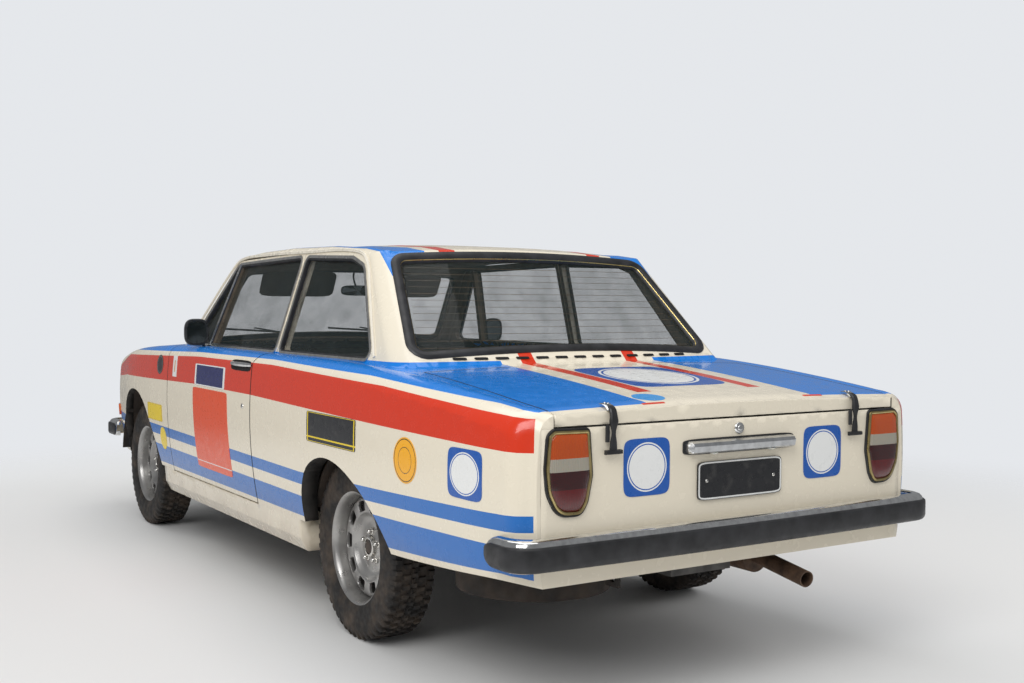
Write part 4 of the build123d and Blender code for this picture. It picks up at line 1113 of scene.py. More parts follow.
def fluted(tree, shader, coordinate, scale, strength):
    """Give a shader upright moulded ribs: a wave over the car's width as its bump."""
    waves = tree.nodes.new("ShaderNodeTexWave")
    waves.bands_direction = "Y"
    waves.inputs["Scale"].default_value = scale
    tree.links.new(coordinate, waves.inputs["Vector"])
    bumped(tree, shader, waves.outputs["Fac"], strength, 0.002)


def banded_lens(name, bands):
    """Return lens plastic whose colour steps with height, with fine moulded ribs inside."""
    material, shader, tree, coordinate, (_, _, z) = blank_finish(name)
    colour = tone_of(tree, bands[-1][1])
    for low, band in reversed(bands[:-1]):
        colour = mixed(tree, colour, band, z.over(low))
    tree.links.new(colour, shader.inputs["Base Color"])
    set_values(shader, {"Roughness": 0.12, "Coat Weight": 1, "Coat Roughness": 0.03})
    set_values(shader, {"Subsurface Weight": 0.15, "Subsurface Radius": (0.01, 0.004, 0.002)})
    fluted(tree, shader, coordinate, LENS_RIBS, 0.35)
    return material


LENS = banded_lens("tail_lens", LAMP_BANDS)
BRASS = bright_metal("brass_rim", (0.60, 0.48, 0.22), 0.25)
outline = rounded_outline(TAIL_OUTLINE, TAIL_RADII, 0.008)
centre = outline.mean(0)
rings = np.array([0.001, 0.25, 0.5, 0.7, 0.84, 0.93, 0.975, 1.0])
lens_proud = LENS_CROWN * (1 - rings**6) ** 0.5 + 0.004
for side, hand in SIDES:
    flip = np.array((1, hand, 1))
    lens_flat = centre + rings[:, None, None] * LENS_SHARE * (outline - centre)
    lens_points, _ = tail_place(lens_flat[..., 0], lens_flat[..., 1], lens_proud[:, None])
    lens_back, _ = tail_place(*lens_flat[-1].T, [-0.001])
    lens = Grids().capped(np.concatenate([lens_points, lens_back[None]]) * flip)
    lens.piece("tail_lens_" + side, "root", "red_lens", LENS, ["tail_lamps"] if hand > 0 else [])
    edge, facing = tail_place(*outline.T, [0])
    middle = edge.mean(0)
    plated = Grids().looped(swept(edge, facing, LENS_RIM, True, middle) * flip)
    plated.piece("tail_rim_" + side, "root", "bumper_chrome", BRASS)
    bed = Grids().looped(swept(edge, facing, LENS_GASKET, True, middle) * flip)
    bed.piece("tail_gasket_" + side, "root", "strap_rubber", RUBBER)

# Number plate, its lamp and the boot lock: an enamelled steel plate with a raised white edge, left blank,
# bolted on. Over it an extruded aluminium lamp bar on a black gasket, with two clear lenses under it.
def perimeter(count):
    """Return points round the unit square, one at each corner."""
    side = np.linspace(-1, 1, count + 1)[:-1]
    one = np.ones(count)
    edges = ((side, -one), (one, side), (-side, one), (-one, -side))
    return np.concatenate([np.stack(edge, 1) for edge in edges])


def soft_square(count, power):
    """Return a ring between a circle (power 2) and a square: each point of the unit square drawn in
    until the sum of its coordinates to that power is one."""
    ring = perimeter(count)
    return ring / (np.abs(ring) ** power).sum(1, keepdims=True) ** (1 / power)


def flat_patch(half_u, half_v, power, surface, rings=(0.0005, 0.3, 0.6, 0.85, 1.0), count=16, drop=0.0006):
    """Return a thin patch lying on a surface, its edge turned in by drop: rings of a soft square, each
    put on the surface by the function given, and the place of each point in the patch's own unit square."""
    shares = np.array([*rings, 1.0])
    local = shares[:, None, None] * soft_square(count, power)
    points, facing = surface(local[..., 0] * half_u, local[..., 1] * half_v)
    points[-1] -= facing[-1] * drop * 2
    return points, local


def blank_print(name, ground, bands):
    """Return a printed face without lettering: a ground colour and bands, each a colour and the
    lowest and highest distance from the middle, square or round, as shares of the patch's half size."""
    material, shader, tree, coordinate, _ = blank_finish(name)
    place_node = tree.nodes.new("ShaderNodeUVMap")
    place_node.uv_map = "place"
    u, v, _ = split_up(tree, place_node.outputs["UV"])
    wide_u, wide_v = u.math("ABSOLUTE", 0), v.math("ABSOLUTE", 0)
    square = wide_u.math("MAXIMUM", wide_v)
    around = u.math("MULTIPLY", u).math("ADD", v.math("MULTIPLY", v)).math("SQRT", 0)
    measures = {"square": square, "round": around, "u": u, "v": v}
    colour = tone_of(tree, ground)
    for kind, low, high, band in bands:
        colour = mixed(tree, colour, band, measures[kind].between(low, high))
    fade = patches(tree, coordinate, 30, 5, 0.55, 0.8, WEAR)
    colour = mixed(tree, colour, (0.55, 0.52, 0.46), fade)
    tree.links.new(colour, shader.inputs["Base Color"])
    roughened(tree, shader, coordinate, 40, 0.22, 0.42)
    set_values(shader, {"Coat Weight": 0.3})
    bumped(tree, shader, noise_of(tree, coordinate, 300, 2), 0.04, 0.0004)
    return material


WEAR = 0.06
WHITE = (0.80, 0.80, 0.78)
BLACK = (0.014, 0.014, 0.016)
TAIL_FACE_X = -2.240
PLATE_HALF = (0.175, 0.059)
PLATE_PROUD = 0.0075
PLATE_MIDDLE = (0.0, 0.665)
PLATE_PRINT = blank_print("plate_enamel", BLACK, [("square", 0.0, 2.0, BLACK)])
PLATE_EDGE = dull_paint("plate_edge_enamel", (0.62, 0.62, 0.60), (0.78, 0.78, 0.76), 0.35)


def rear_face(middle_y, middle_z, proud):
    """Return a function that puts a patch's own u and v on the flat rear face, proud of it."""
    def surface(u, v):
        points = points_of(TAIL_FACE_X - proud, middle_y - u, middle_z + v)
        return points, np.broadcast_to((-1.0, 0, 0), points.shape)
    return surface


plate_points, plate_places = flat_patch(*PLATE_HALF, 14, rear_face(*PLATE_MIDDLE, PLATE_PROUD), drop=0.003)
plate = Grids().capped(plate_points, places=plate_places)
plate.piece("number_plate", "root", "bumper_chrome", PLATE_PRINT, ["plate_and_lamp"], outward=(-1, 0, 0))
edge_ring = soft_square(16, 14) * (np.array(PLATE_HALF) - 0.004)
edge_line = points_of(TAIL_FACE_X - PLATE_PROUD, *(PLATE_MIDDLE - edge_ring).T)
edge_bead = np.array([
    (-0.0030, -0.001), (-0.0022, 0.0012), (0.0, 0.0019), (0.0022, 0.0012), (0.0030, -0.001)
])
bead = Grids().frame(edge_line, (-1, 0, 0), edge_bead, edge_line.mean(0))
bead.piece("number_plate_edge", "root", "bumper_chrome", PLATE_EDGE)


def dome(centre, axis, radius, height, sides, power=2.0, base=0.0):
    """Return a round cap of rings about an axis: height times (1 - share^power)^0.5 over each ring."""
    axis = unit(np.array(axis, float))
    across = unit(np.cross(axis, (0.31, 0.52, 0.80)))
    other = np.cross(axis, across)
    shares = np.array([1e-4, 0.35, 0.65, 0.85, 0.95, 1.0])
    angle = np.linspace(0, 2 * np.pi, sides, endpoint=False)
    ring = np.cos(angle)[:, None] * across + np.sin(angle)[:, None] * other
    lift = height * np.sqrt(1 - shares**power)
    cap = centre + radius * shares[:, None, None] * ring + (base + lift)[:, None, None] * axis
    foot = centre + radius * ring
    return np.concatenate([cap, foot[None]])


bolts = Grids()
for y in (-0.140, 0.140):
    bolts.capped(dome((TAIL_FACE_X - PLATE_PROUD, y, PLATE_MIDDLE[1]), (-1, 0, 0), 0.006, 0.004, 12))
bolts.piece("plate_bolts", "root", "bumper_chrome", STAINLESS)
BAR_SECTION = np.array([
    (-0.019, 0.000), (-0.019, 0.020), (-0.014, 0.028), (0.004, 0.032), (0.014, 0.026), (0.018, 0.014),
    (0.019, 0.000),
])
ALUMINIUM = bright_metal("brushed_aluminium", (0.72, 0.73, 0.74), 0.28, 0.06)
BAR_HALF = 0.222
BAR_Z = 0.771
bar_y = np.linspace(-BAR_HALF, BAR_HALF, 45)
near_end = (BAR_HALF - np.abs(bar_y)) / 0.014
end_share = np.sqrt(1 - (1 - np.clip(near_end, 0, 1)) ** 2) * 0.55 + 0.45
bar_line = points_of(TAIL_FACE_X - 0.003, bar_y, BAR_Z)
bar_points = swept(bar_line, (-1, 0, 0), BAR_SECTION)
bar_points = bar_line[:, None] + (bar_points - bar_line[:, None]) * end_share[:, None, None]
Grids().capped(bar_points).piece("plate_lamp_bar", "root", "bumper_chrome", ALUMINIUM)
pad_points, _ = flat_patch(0.232, 0.024, 8, rear_face(0, BAR_Z, 0.003), drop=0.002)
Grids().capped(pad_points).piece("plate_lamp_gasket", "root", "strap_rubber", RUBBER, outward=(-1, 0, 0))
CLEAR_LENS = banded_lens("clear_lens", [(0.0, (0.75, 0.74, 0.68))])
under = Grids()
for y in (-0.120, 0.120):
    under.capped(dome((TAIL_FACE_X - 0.016, y, 0.753), (0, 0, -1), 0.014, 0.007, 16))
under.piece("plate_lamp_lenses", "root", "window_glass", CLEAR_LENS)
lock = Grids()
lock_centre = np.array((TAIL_FACE_X - 0.001, 0.004, 0.820))
lock.capped(dome(lock_centre, (-1, 0, 0), 0.019, 0.007, 28, 8))
lock.capped(dome(lock_centre - (0.006, 0, 0), (-1, 0, 0), 0.010, 0.004, 20, 4))
lock.piece("boot_lock", "root", "bumper_chrome", CHROME)

# Boot straps: moulded black rubber with a waisted shank, hung from a bracket bolted to the lid and
# hooked under a T-shaped foot. The brackets and their screws are chrome plated.
STRAP_Y = 0.505
STRAP_LINE = [
    (-2.236, 0.906), (-2.249, 0.900), (-2.256, 0.880), (-2.257, 0.850), (-2.256, 0.815), (-2.255, 0.780)
]
STRAP_SECTION = np.array([(-1, -0.6), (-1, 0.4), (-0.7, 1), (0.7, 1), (1, 0.4), (1, -0.6)]) * (0.012, 0.005)
straps = Grids()
brackets = Grids()
for y in (-STRAP_Y, STRAP_Y):
    line = smooth_line(STRAP_LINE, 26)
    path = points_of(line[:, 0], y, line[:, 1])
    shape = swept(path, (-1, 0, 0), STRAP_SECTION)
    run = np.linspace(0, 1, 26)
    waist = 1.0 - 0.42 * np.exp(-((run - 0.62) / 0.16) ** 2) + 0.25 * np.exp(-((run - 0.38) / 0.10) ** 2)
    shape = path[:, None] + (shape - path[:, None]) * waist[:, None, None]
    straps.capped(shape)
    foot_line = points_of(-2.255, y + np.linspace(-0.029, 0.029, 9), 0.777)
    foot = swept(foot_line, (-1, 0, 0), STRAP_SECTION * (0.55, 1.6))
    straps.capped(foot)
    latch_line = points_of(-2.250, y + 0.017, np.linspace(0.856, 0.806, 7))
    straps.bar(latch_line, (-1, 0, 0), STRAP_SECTION * (0.55, 0.8))
    bracket_line = points_of(np.linspace(-2.205, -2.246, 8), y, 0.912 - np.linspace(0, 1, 8) ** 3 * 0.014)
    brackets.bar(bracket_line, (0, 0, 1), STRAP_SECTION * (1.35, 0.7))
    for x in (-2.212, -2.228):
        brackets.capped(dome((x, y, 0.915), (-0.1, 0, 1), 0.0045, 0.003, 10))
straps.piece("boot_straps", "boot_lid", "strap_rubber", RUBBER, ["lid_straps"])
brackets.piece("boot_strap_brackets", "boot_lid", "bumper_chrome", CHROME)

# Blank stickers and number boards: printed vinyl film, cut to its outline and laid on the paint by its
# own glue. There is no lettering on any of them.
def body_rows(x):
    """Return the body's smooth sections at each x, half outlines from the lower edge to the middle."""
    return section_curve(smooth_between(x, SECTIONS[:, 0], SECTIONS[:, 1:]))


def body_side(x, z):
    """Return the half width of the body's side at x and z."""
    return crossing(body_rows(x)[:, : 2 * ARC_STEPS + 1], 1, z)[:, 0]


def body_top(x, y):
    """Return the height of the body's top at x and half width y."""
    return crossing(body_rows(x)[:, 2 * ARC_STEPS :], 0, np.abs(y))[:, 1]


def on_side(middle_x, middle_z, hand, proud, lean=0.0):
    """Return a function that puts a patch's u and v on the body's left (1) or right (-1) side. Lean
    slants it: x moves by lean for each metre of height."""
    def surface(u, v):
        x, z = middle_x - hand * u + lean * v, middle_z + v
        facing = surface_facing(body_side, x.ravel(), z.ravel(), 1)
        points = points_of(x.ravel(), body_side(x.ravel(), z.ravel()), z.ravel()) + facing * proud
        flip = np.array((1, hand, 1))
        return (points * flip).reshape(*u.shape, 3), (facing * flip).reshape(*u.shape, 3)
    return surface


def on_top(middle_x, middle_y):
    """Return a function that puts a patch's u and v on the body's top, u across and v rearwards."""
    def surface(u, v):
        x, y = middle_x + v, middle_y - u
        points = points_of(x.ravel(), y.ravel(), body_top(x.ravel(), y.ravel()) + FILM_PROUD)
        return points.reshape(*u.shape, 3), np.broadcast_to((0, 0, 1.0), (*u.shape, 3))
    return surface


FILM_PROUD = 0.0012
YELLOW = (0.85, 0.62, 0.01)
ORANGE = (0.90, 0.42, 0.01)
BOARD_RED = (0.78, 0.075, 0.010)
NAVY = (0.012, 0.016, 0.110)
EMBLEM_BLUE = (0.012, 0.095, 0.400)
PALE_BLUE = (0.035, 0.300, 0.700)
FINE_RINGS = (0.0005, 0.25, 0.5, 0.7, 0.85, 0.95, 1.0)
PRINTS = {
    "emblem": blank_print(
        "emblem_print", EMBLEM_BLUE, [("round", 0.0, 0.86, WHITE), ("round", 0.77, 0.81, EMBLEM_BLUE)]
    ),
    "yellow": blank_print("yellow_print", YELLOW, [("square", 0.92, 1.2, (0.70, 0.48, 0.01))]),
    "orange_disc": blank_print(
        "orange_disc_print", ORANGE, [("round", 0.90, 0.94, BLACK), ("round", 0.55, 0.58, BLACK)]
    ),
    "black_board": blank_print(
        "black_board_print", BLACK, [("square", 0.93, 0.965, YELLOW), ("v", -0.72, -0.62, YELLOW)]
    ),
    "black_disc": blank_print("black_disc_print", BLACK, [("round", 0.86, 0.90, (0.30, 0.30, 0.28))]),
    "ticket": blank_print(
        "ticket_print", WHITE,
        [("u", -0.25, 0.25, (0.62, 0.30, 0.10)), ("v", -2.0, -0.55, WHITE), ("v", 0.55, 2.0, WHITE)]
    ),
    "number_board": blank_print("number_board_print", BOARD_RED, [("v", -0.845, -0.825, WHITE)]),
    "header": blank_print("header_print", NAVY, [("square", 0.90, 2.0, WHITE)]),
    "pale_disc": blank_print("pale_disc_print", PALE_BLUE, [("round", 0.97, 2.0, PALE_BLUE)]),
    "dash": blank_print("dash_print", RED, [("square", 0.99, 2.0, RED)]),
}
# name, print, middle x, middle z, half width, half height, squareness, lean, proud
SIDE_STICKERS = [
    ("wing_rectangle", "yellow", 1.070, 0.645, 0.125, 0.042, 40, 0.0, FILM_PROUD),
    ("wing_disc", "yellow", 0.950, 0.522, 0.048, 0.056, 2, 0.0, 0.0014),
    ("band_disc", "black_disc", 0.986, 0.888, 0.050, 0.047, 2, 0.0, FILM_PROUD),
    ("band_ticket", "ticket", 0.739, 0.890, 0.030, 0.050, 40, 0.0, FILM_PROUD),
    ("quarter_board", "black_board", -1.086, 0.749, 0.206, 0.055, 40, 0.0, FILM_PROUD),
    ("quarter_disc", "orange_disc", -1.640, 0.706, 0.073, 0.073, 2, 0.0, FILM_PROUD),
    ("quarter_emblem", "emblem", -1.983, 0.704, 0.090, 0.074, 7, 0.0, FILM_PROUD),
    ("number_board", "number_board", 0.212, 0.628, 0.230, 0.182, 40, 0.05, FILM_PROUD),
    ("number_header", "header", 0.226, 0.870, 0.200, 0.048, 40, 0.0, 0.0016),
]
for name, print_name, x, z, half_u, half_v, power, lean, proud in SIDE_STICKERS:
    for side, hand in SIDES:
        body = "door_" + side if name in ("number_board", "number_header", "band_ticket") else "root"
        points, places = flat_patch(half_u, half_v, power, on_side(x, z, hand, proud, lean), FINE_RINGS)
        patch = Grids().capped(points, places=places)
        patch.piece(f"{name}_{side}", body, "body_paint", PRINTS[print_name], outward=(0, hand, 0))
# name, print, body, middle x, middle y, half across, half along, squareness
TOP_STICKERS = [
    ("lid_emblem", "emblem", "boot_lid", -1.790, 0.0, 0.198, 0.205, 7),
    ("lid_disc", "pale_disc", "boot_lid", -2.140, 0.285, 0.052, 0.050, 2),
    ("lid_dash_left", "dash", "boot_lid", -2.214, 0.325, 0.042, 0.005, 40),
    ("lid_dash_right", "dash", "boot_lid", -2.214, -0.345, 0.042, 0.005, 40),
]
for name, print_name, body, x, y, half_u, half_v, power in TOP_STICKERS:
    points, places = flat_patch(half_u, half_v, power, on_top(x, y), FINE_RINGS)
    patch = Grids().capped(points, places=places)
    patch.piece(name, body, "body_paint", PRINTS[print_name], outward=(0, 0, 1))
for name, y in (("rear_emblem_left", 0.369), ("rear_emblem_right", -0.3675)):
    points, places = flat_patch(0.087, 0.085, 7, rear_face(y, 0.723, FILM_PROUD), FINE_RINGS)
    patch = Grids().capped(points, places=places)
    patch.piece(name, "root", "body_paint", PRINTS["emblem"], outward=(-1, 0, 0))

# Air outlet slots: short louvres pressed through the sheet steel just under the rear window's rubber, for
# the cabin's stale air. Each is drawn as a thin flat patch in a dark colour: painted shade for the dark
# inside of the slot.
SLOT_COUNT = 13
SLOT_SPAN = 0.500
SLOT_HALF_SIZE = (0.026, 0.0042)
# A flat dark colour that paints the shade inside the slots and the handle recesses.
HOLLOW_SHADE = dull_paint("slot_dark", (0.004, 0.004, 0.004), (0.012, 0.011, 0.010), 0.8)


def on_rear_wall(middle_y, middle_z, proud):
    """Return a function that puts a patch's u and v on the cabin's rear wall, just proud of it."""
    def surface(u, v):
        y, z = (middle_y - u).ravel(), (middle_z + v).ravel()
        x = crossing(cabin_curves(z, "rear"), 1, y)[:, 0] - proud
        return points_of(x, y, z).reshape(*u.shape, 3), np.broadcast_to((-1.0, 0, 0), (*u.shape, 3))
    return surface


slot_shades = Grids()
for y in np.linspace(-SLOT_SPAN, SLOT_SPAN, SLOT_COUNT):
    wall = on_rear_wall(y, 1.0075, 0.0035)
    points, _ = flat_patch(*SLOT_HALF_SIZE, 6, wall, (0.0005, 0.6, 1.0), 8, drop=0.0015)
    slot_shades.capped(points)
slot_shades.piece("deck_louvres", "root", "grille_black", HOLLOW_SHADE, outward=(-1, 0, 0))

# Door handles: chromed zinc levers, cast and bolted on from inside the door over a pressed recess, with a
# separate lock and its keyhole lower on the door skin. The recess is drawn as a flat patch in a dark
# colour: painted shade for the hollow.
HANDLE_X, HANDLE_Z = -0.160, 0.936
KEYHOLE = np.array((-0.202, 0.769))
LEVER_SECTION = np.array([(-1, -0.5), (-0.8, 0.5), (0, 1), (0.8, 0.5), (1, -0.5)]) * (0.010, 0.005)
for side, hand in SIDES:
    flip = np.array((1, hand, 1))
    # The recess: a flat patch whose dark colour is painted shade.
    points, _ = flat_patch(0.115, 0.022, 5, on_side(HANDLE_X, HANDLE_Z, hand, FILM_PROUD), FINE_RINGS)
    recess_shade = Grids().capped(points)
    recess_shade.piece("handle_recess_" + side, "door_" + side, "grille_black", HOLLOW_SHADE, outward=(0, hand, 0))
    x = np.linspace(HANDLE_X - 0.125, HANDLE_X + 0.118, 28)
    run = np.linspace(0, 1, 28)
    lift = 0.003 + 0.010 * np.sin(np.pi * run) ** 0.6
    wall = body_side(x, np.full(28, HANDLE_Z + 0.004))
    path = points_of(x, wall + lift, HANDLE_Z + 0.006) * flip
    thick = (0.55 + 0.45 * np.sin(np.pi * run) ** 0.5)[:, None, None]
    lever = swept(path, (0, hand, 0), LEVER_SECTION)
    grip = Grids().capped(path[:, None] + (lever - path[:, None]) * thick)
    grip.piece("door_handle_" + side, "door_" + side, "bumper_chrome", CHROME)
    keyhole_y = body_side(KEYHOLE[:1], KEYHOLE[1:])[0]
    spot = np.array((KEYHOLE[0], keyhole_y, KEYHOLE[1])) * flip
    keyhole = Grids().capped(dome(spot, (0, hand, 0), 0.011, 0.004, 20, 6))
    keyhole.piece("door_lock_" + side, "door_" + side, "bumper_chrome", STAINLESS)

# Wheels: knobbly rally tyres on pressed steel wheels, the outer face sprayed silver over the steel,
# five domed nuts round an open hub. Tread blocks are moulded in staggered rows.
TYRE_R = 0.324
HALF_TRACK = 0.700
TREAD_DEPTH = 0.0105
PITCHES = 54
PITCH_SAMPLES = np.array([0.0, 0.06, 0.44, 0.50, 0.56, 0.94])
# offset across the tyre, radius of the carcass, height of a block there, row of the stagger
TYRE_ROWS = [
    (-0.0730, 0.200, 0, 0), (-0.0810, 0.212, 0, 0), (-0.0845, 0.226, 0, 0), (-0.0855, 0.240, 0, 0),
    (-0.0858, 0.258, 0, 0), (-0.0850, 0.276, 0, 0), (-0.0835, 0.289, 0.0, 0), (-0.0825, 0.294, 0.35, 0),
    (-0.0795, 0.3035, 0.8, 0), (-0.0720, 0.3125, 1, 0), (-0.0520, 0.3135, 1, 0), (-0.0490, 0.3135, 0, 0),
    (-0.0430, 0.3135, 0, 1), (-0.0400, 0.3135, 1, 1), (-0.0170, 0.3135, 1, 1), (-0.0140, 0.3135, 0, 1),
    (-0.0110, 0.3135, 0, 0), (-0.0090, 0.3135, 1, 0),
]
TYRE_ROWS = np.array(TYRE_ROWS + [(-y, r, h, 1 - s) for y, r, h, s in reversed(TYRE_ROWS)])


def tyre_rubber():
    """Return worn black tyre rubber, grey-brown with dry mud between the blocks and on the walls."""
    material, shader, tree, coordinate, _ = blank_finish("tyre_rubber")
    mud = noise_of(tree, coordinate, 16, 8)
    two_tone(tree, shader, mud, 0.42, (0.015, 0.013, 0.012), 0.74, (0.075, 0.054, 0.038))
    roughened(tree, shader, coordinate, 50, 0.62, 0.9)
    bumped(tree, shader, noise_of(tree, coordinate, 260, 5), 0.35, 0.0012)
    return material


def tyre_surface(axle_x, hand):
    """Return a tyre: its rows turned about the axle, each block raised by the tread depth where the
    pitch's share lies in the row's half, with sloping flanks, the second row half a pitch on."""
    samples = (np.arange(PITCHES)[:, None] + PITCH_SAMPLES[None, :]).ravel() / PITCHES
    share = np.tile(np.arange(len(PITCH_SAMPLES)), PITCHES)
    y, carcass, block, row = TYRE_ROWS.T
    first = np.isin(share, (1, 2))
    second = np.isin(share, (4, 5))
    raised = np.where(row[None, :] < 0.5, first[:, None], second[:, None])
    radius = carcass + np.where(raised, block, 0) * TREAD_DEPTH
    angle = 2 * np.pi * samples[:, None] + 0.012 * np.sin(y / 0.03)[None, :]
    centre = np.array((axle_x, hand * HALF_TRACK, TYRE_R))
    return centre + points_of(np.cos(angle) * radius, hand * y, np.sin(angle) * radius)


WHEEL_PLACES = [
    ("front_left", 1.520, 1), ("front_right", 1.520, -1), ("rear_left", -1.100, 1),
    ("rear_right", -1.100, -1),
]
TYRE_FINISH = tyre_rubber()
WHEEL_SILVER = dull_paint("wheel_silver", (0.30, 0.29, 0.28), (0.50, 0.49, 0.47), 0.34, 9)
set_values(WHEEL_SILVER.node_tree.nodes["Principled BSDF"], {"Metallic": 0.75})
DRUM_IRON = dull_paint("brake_iron", (0.045, 0.030, 0.022), (0.12, 0.085, 0.06), 0.75)
# offset out along the axle, radius: the barrel and lip, closed as a thin wall
BARREL = np.array([
    (0.0760, 0.2070), (0.0745, 0.2080), (0.0725, 0.2072), (0.0715, 0.1995), (0.0660, 0.1950),
    (0.0500, 0.1905), (0.0300, 0.1880), (-0.0300, 0.1880), (-0.0560, 0.1905), (-0.0700, 0.1950),
    (-0.0720, 0.2072), (-0.0750, 0.2080), (-0.0760, 0.2060), (-0.0725, 0.1925), (-0.0560, 0.1865),
    (-0.0300, 0.1840), (0.0100, 0.1840), (0.0480, 0.1860), (0.0640, 0.1905), (0.0700, 0.1950),
    (0.0740, 0.2010),
])
# radius, offset out along the axle: the disc's face from the barrel in to the hub
DISC_FACE = np.array([
    (0.1850, 0.0140), (0.1800, 0.0200), (0.1750, 0.0265), (0.1700, 0.0290), (0.1480, 0.0300),
    (0.1240, 0.0270), (0.1200, 0.0230), (0.1130, 0.0110), (0.1020, 0.0040), (0.0850, 0.0030),
    (0.0620, 0.0055), (0.0470, 0.0100),
    (0.0410, 0.0105), (0.0380, 0.0070),
])
SLOT_IN, SLOT_OUT = 0.1240, 0.1700
SLOT_HALF = (0.0265, 0.0190)
SLOTS = 10
DISC_T = 0.0035
SLOT_TURN = 0.0025
SLOT_DEPTH = 0.011
NUTS = 5
NUT_CIRCLE = 0.054
# offset out along the axle, radius: the open hub, the rear drum and the front disc with its hat
HUB_RINGS = np.array([
    (0.0, 0.0385), (0.022, 0.0370), (0.0235, 0.0340), (0.0235, 0.0290), (0.017, 0.0270), (0.016, 0.0001),
])
DRUM = np.array([
    (-0.074, 0.046), (-0.074, 0.114), (-0.070, 0.120), (-0.062, 0.121), (-0.058, 0.118), (-0.006, 0.118),
    (-0.002, 0.108), (-0.005, 0.046),
])
BRAKE_DISC = np.array([
    (-0.048, 0.046), (-0.048, 0.112), (-0.038, 0.112), (-0.038, 0.070), (-0.006, 0.068), (-0.006, 0.046),
])


def around_axle(radius, angle, out, centre, hand):
    """Return points at a radius and an angle about the axle, a distance out along it."""
    return centre + points_of(np.cos(angle) * radius, hand * out, np.sin(angle) * radius)


def disc_profile(radius):
    """Return how far out the disc's face stands at a radius."""
    return np.interp(radius, DISC_FACE[::-1, 0], DISC_FACE[::-1, 1])


def wheel_face_shell(centre, hand):
    """Return a wheel: the barrel turned about the axle, the disc's rings, and between two of them ten
    cells, each a fan of rings from a rounded slot out to the cell's edge; front and back skins."""
    shell = Grids()
    turn = np.linspace(0, 2 * np.pi, 120, endpoint=False)
    shell.looped(around_axle(BARREL[:, 1], turn[:, None], BARREL[:, 0], centre, hand))
    per_side = 6
    around = np.linspace(0, 2 * np.pi, SLOTS * per_side, endpoint=False) - np.pi / SLOTS
    for back in (0.0, DISC_T):
        outer = DISC_FACE[DISC_FACE[:, 0] >= SLOT_OUT]
        inner = DISC_FACE[DISC_FACE[:, 0] <= SLOT_IN]
        for rings in (outer, inner):
            shell.add(around_axle(rings[:, 0], around[:, None], rings[:, 1] - back, centre, hand), True)
        square = perimeter(per_side)
        slot = soft_square(per_side, 4) * SLOT_HALF
        middle = (SLOT_IN + SLOT_OUT) / 2
        cell_angle = square[:, 0] * np.pi / SLOTS
        cell_radius = middle + square[:, 1] * (SLOT_OUT - SLOT_IN) / 2
        slot_radius = middle + slot[:, 1]
        slot_angle = slot[:, 0] / middle
        steps = np.array([0.0, 0.12, 0.4, 1.0])[:, None]
        radius = slot_radius * (1 - steps) + cell_radius * steps
        angle = slot_angle * (1 - steps) + cell_angle * steps
        out = disc_profile(radius) - back
        out[0] -= SLOT_TURN
        for k in range(SLOTS):
            shell.add(around_axle(radius, angle + 2 * np.pi * k / SLOTS, out, centre, hand), False, True)
    lip_out = disc_profile(slot_radius) - np.array([[SLOT_TURN], [SLOT_DEPTH]])
    for k in range(SLOTS):
        lip = around_axle(slot_radius, slot_angle + 2 * np.pi * k / SLOTS, lip_out, centre, hand)
        shell.add(lip, False, True)
    return shell


for name, axle_x, hand in WHEEL_PLACES:
    body = "wheel_" + name
    tyre = Grids().looped(tyre_surface(axle_x, hand))
    tyre.piece(
        "tyre_rubber_" + name, body, "tyre_rubber", TYRE_FINISH, ["tyre_" + name], sharp=np.radians(38)
    )
    centre = np.array((axle_x, hand * HALF_TRACK, TYRE_R))
    wheel = wheel_face_shell(centre, hand)
    wheel.piece(
        "wheel_disc_" + name, body, "wheel_steel", WHEEL_SILVER, ["rim_" + name], sharp=np.radians(40)
    )
    fittings = Grids()
    axis = np.array((0, hand, 0))
    for k in range(NUTS):
        spot = around_axle(NUT_CIRCLE, 2 * np.pi * (k / NUTS + 0.05), 0.0065, centre, hand)
        fittings.capped(dome(spot, axis, 0.0155, 0.006, 6, 12))
        fittings.capped(dome(spot + axis * 0.005, axis, 0.0095, 0.013, 12, 2.4, 0.004))
    turn = np.linspace(0, 2 * np.pi, 40, endpoint=False)
    fittings.capped(around_axle(HUB_RINGS[:, 1:], turn, HUB_RINGS[:, :1], centre, hand))
    fittings.piece("wheel_nuts_" + name, body, "wheel_steel", STAINLESS)
    drum = DRUM if "rear" in name else BRAKE_DISC
    brake = around_axle(drum[:, 1:], turn, drum[:, :1], centre, hand)
    Grids().looped(brake).piece("brake_" + name, body, "engine_iron", DRUM_IRON)

# Door mirrors: flat silvered glass in a black pressed shell on a short plated stem, screwed to the
# front of the door just ahead of the vent window.
MIRROR_MIDDLE = np.array((0.544, 0.818, 1.058))
MIRROR_HALF = (0.0580, 0.0632)
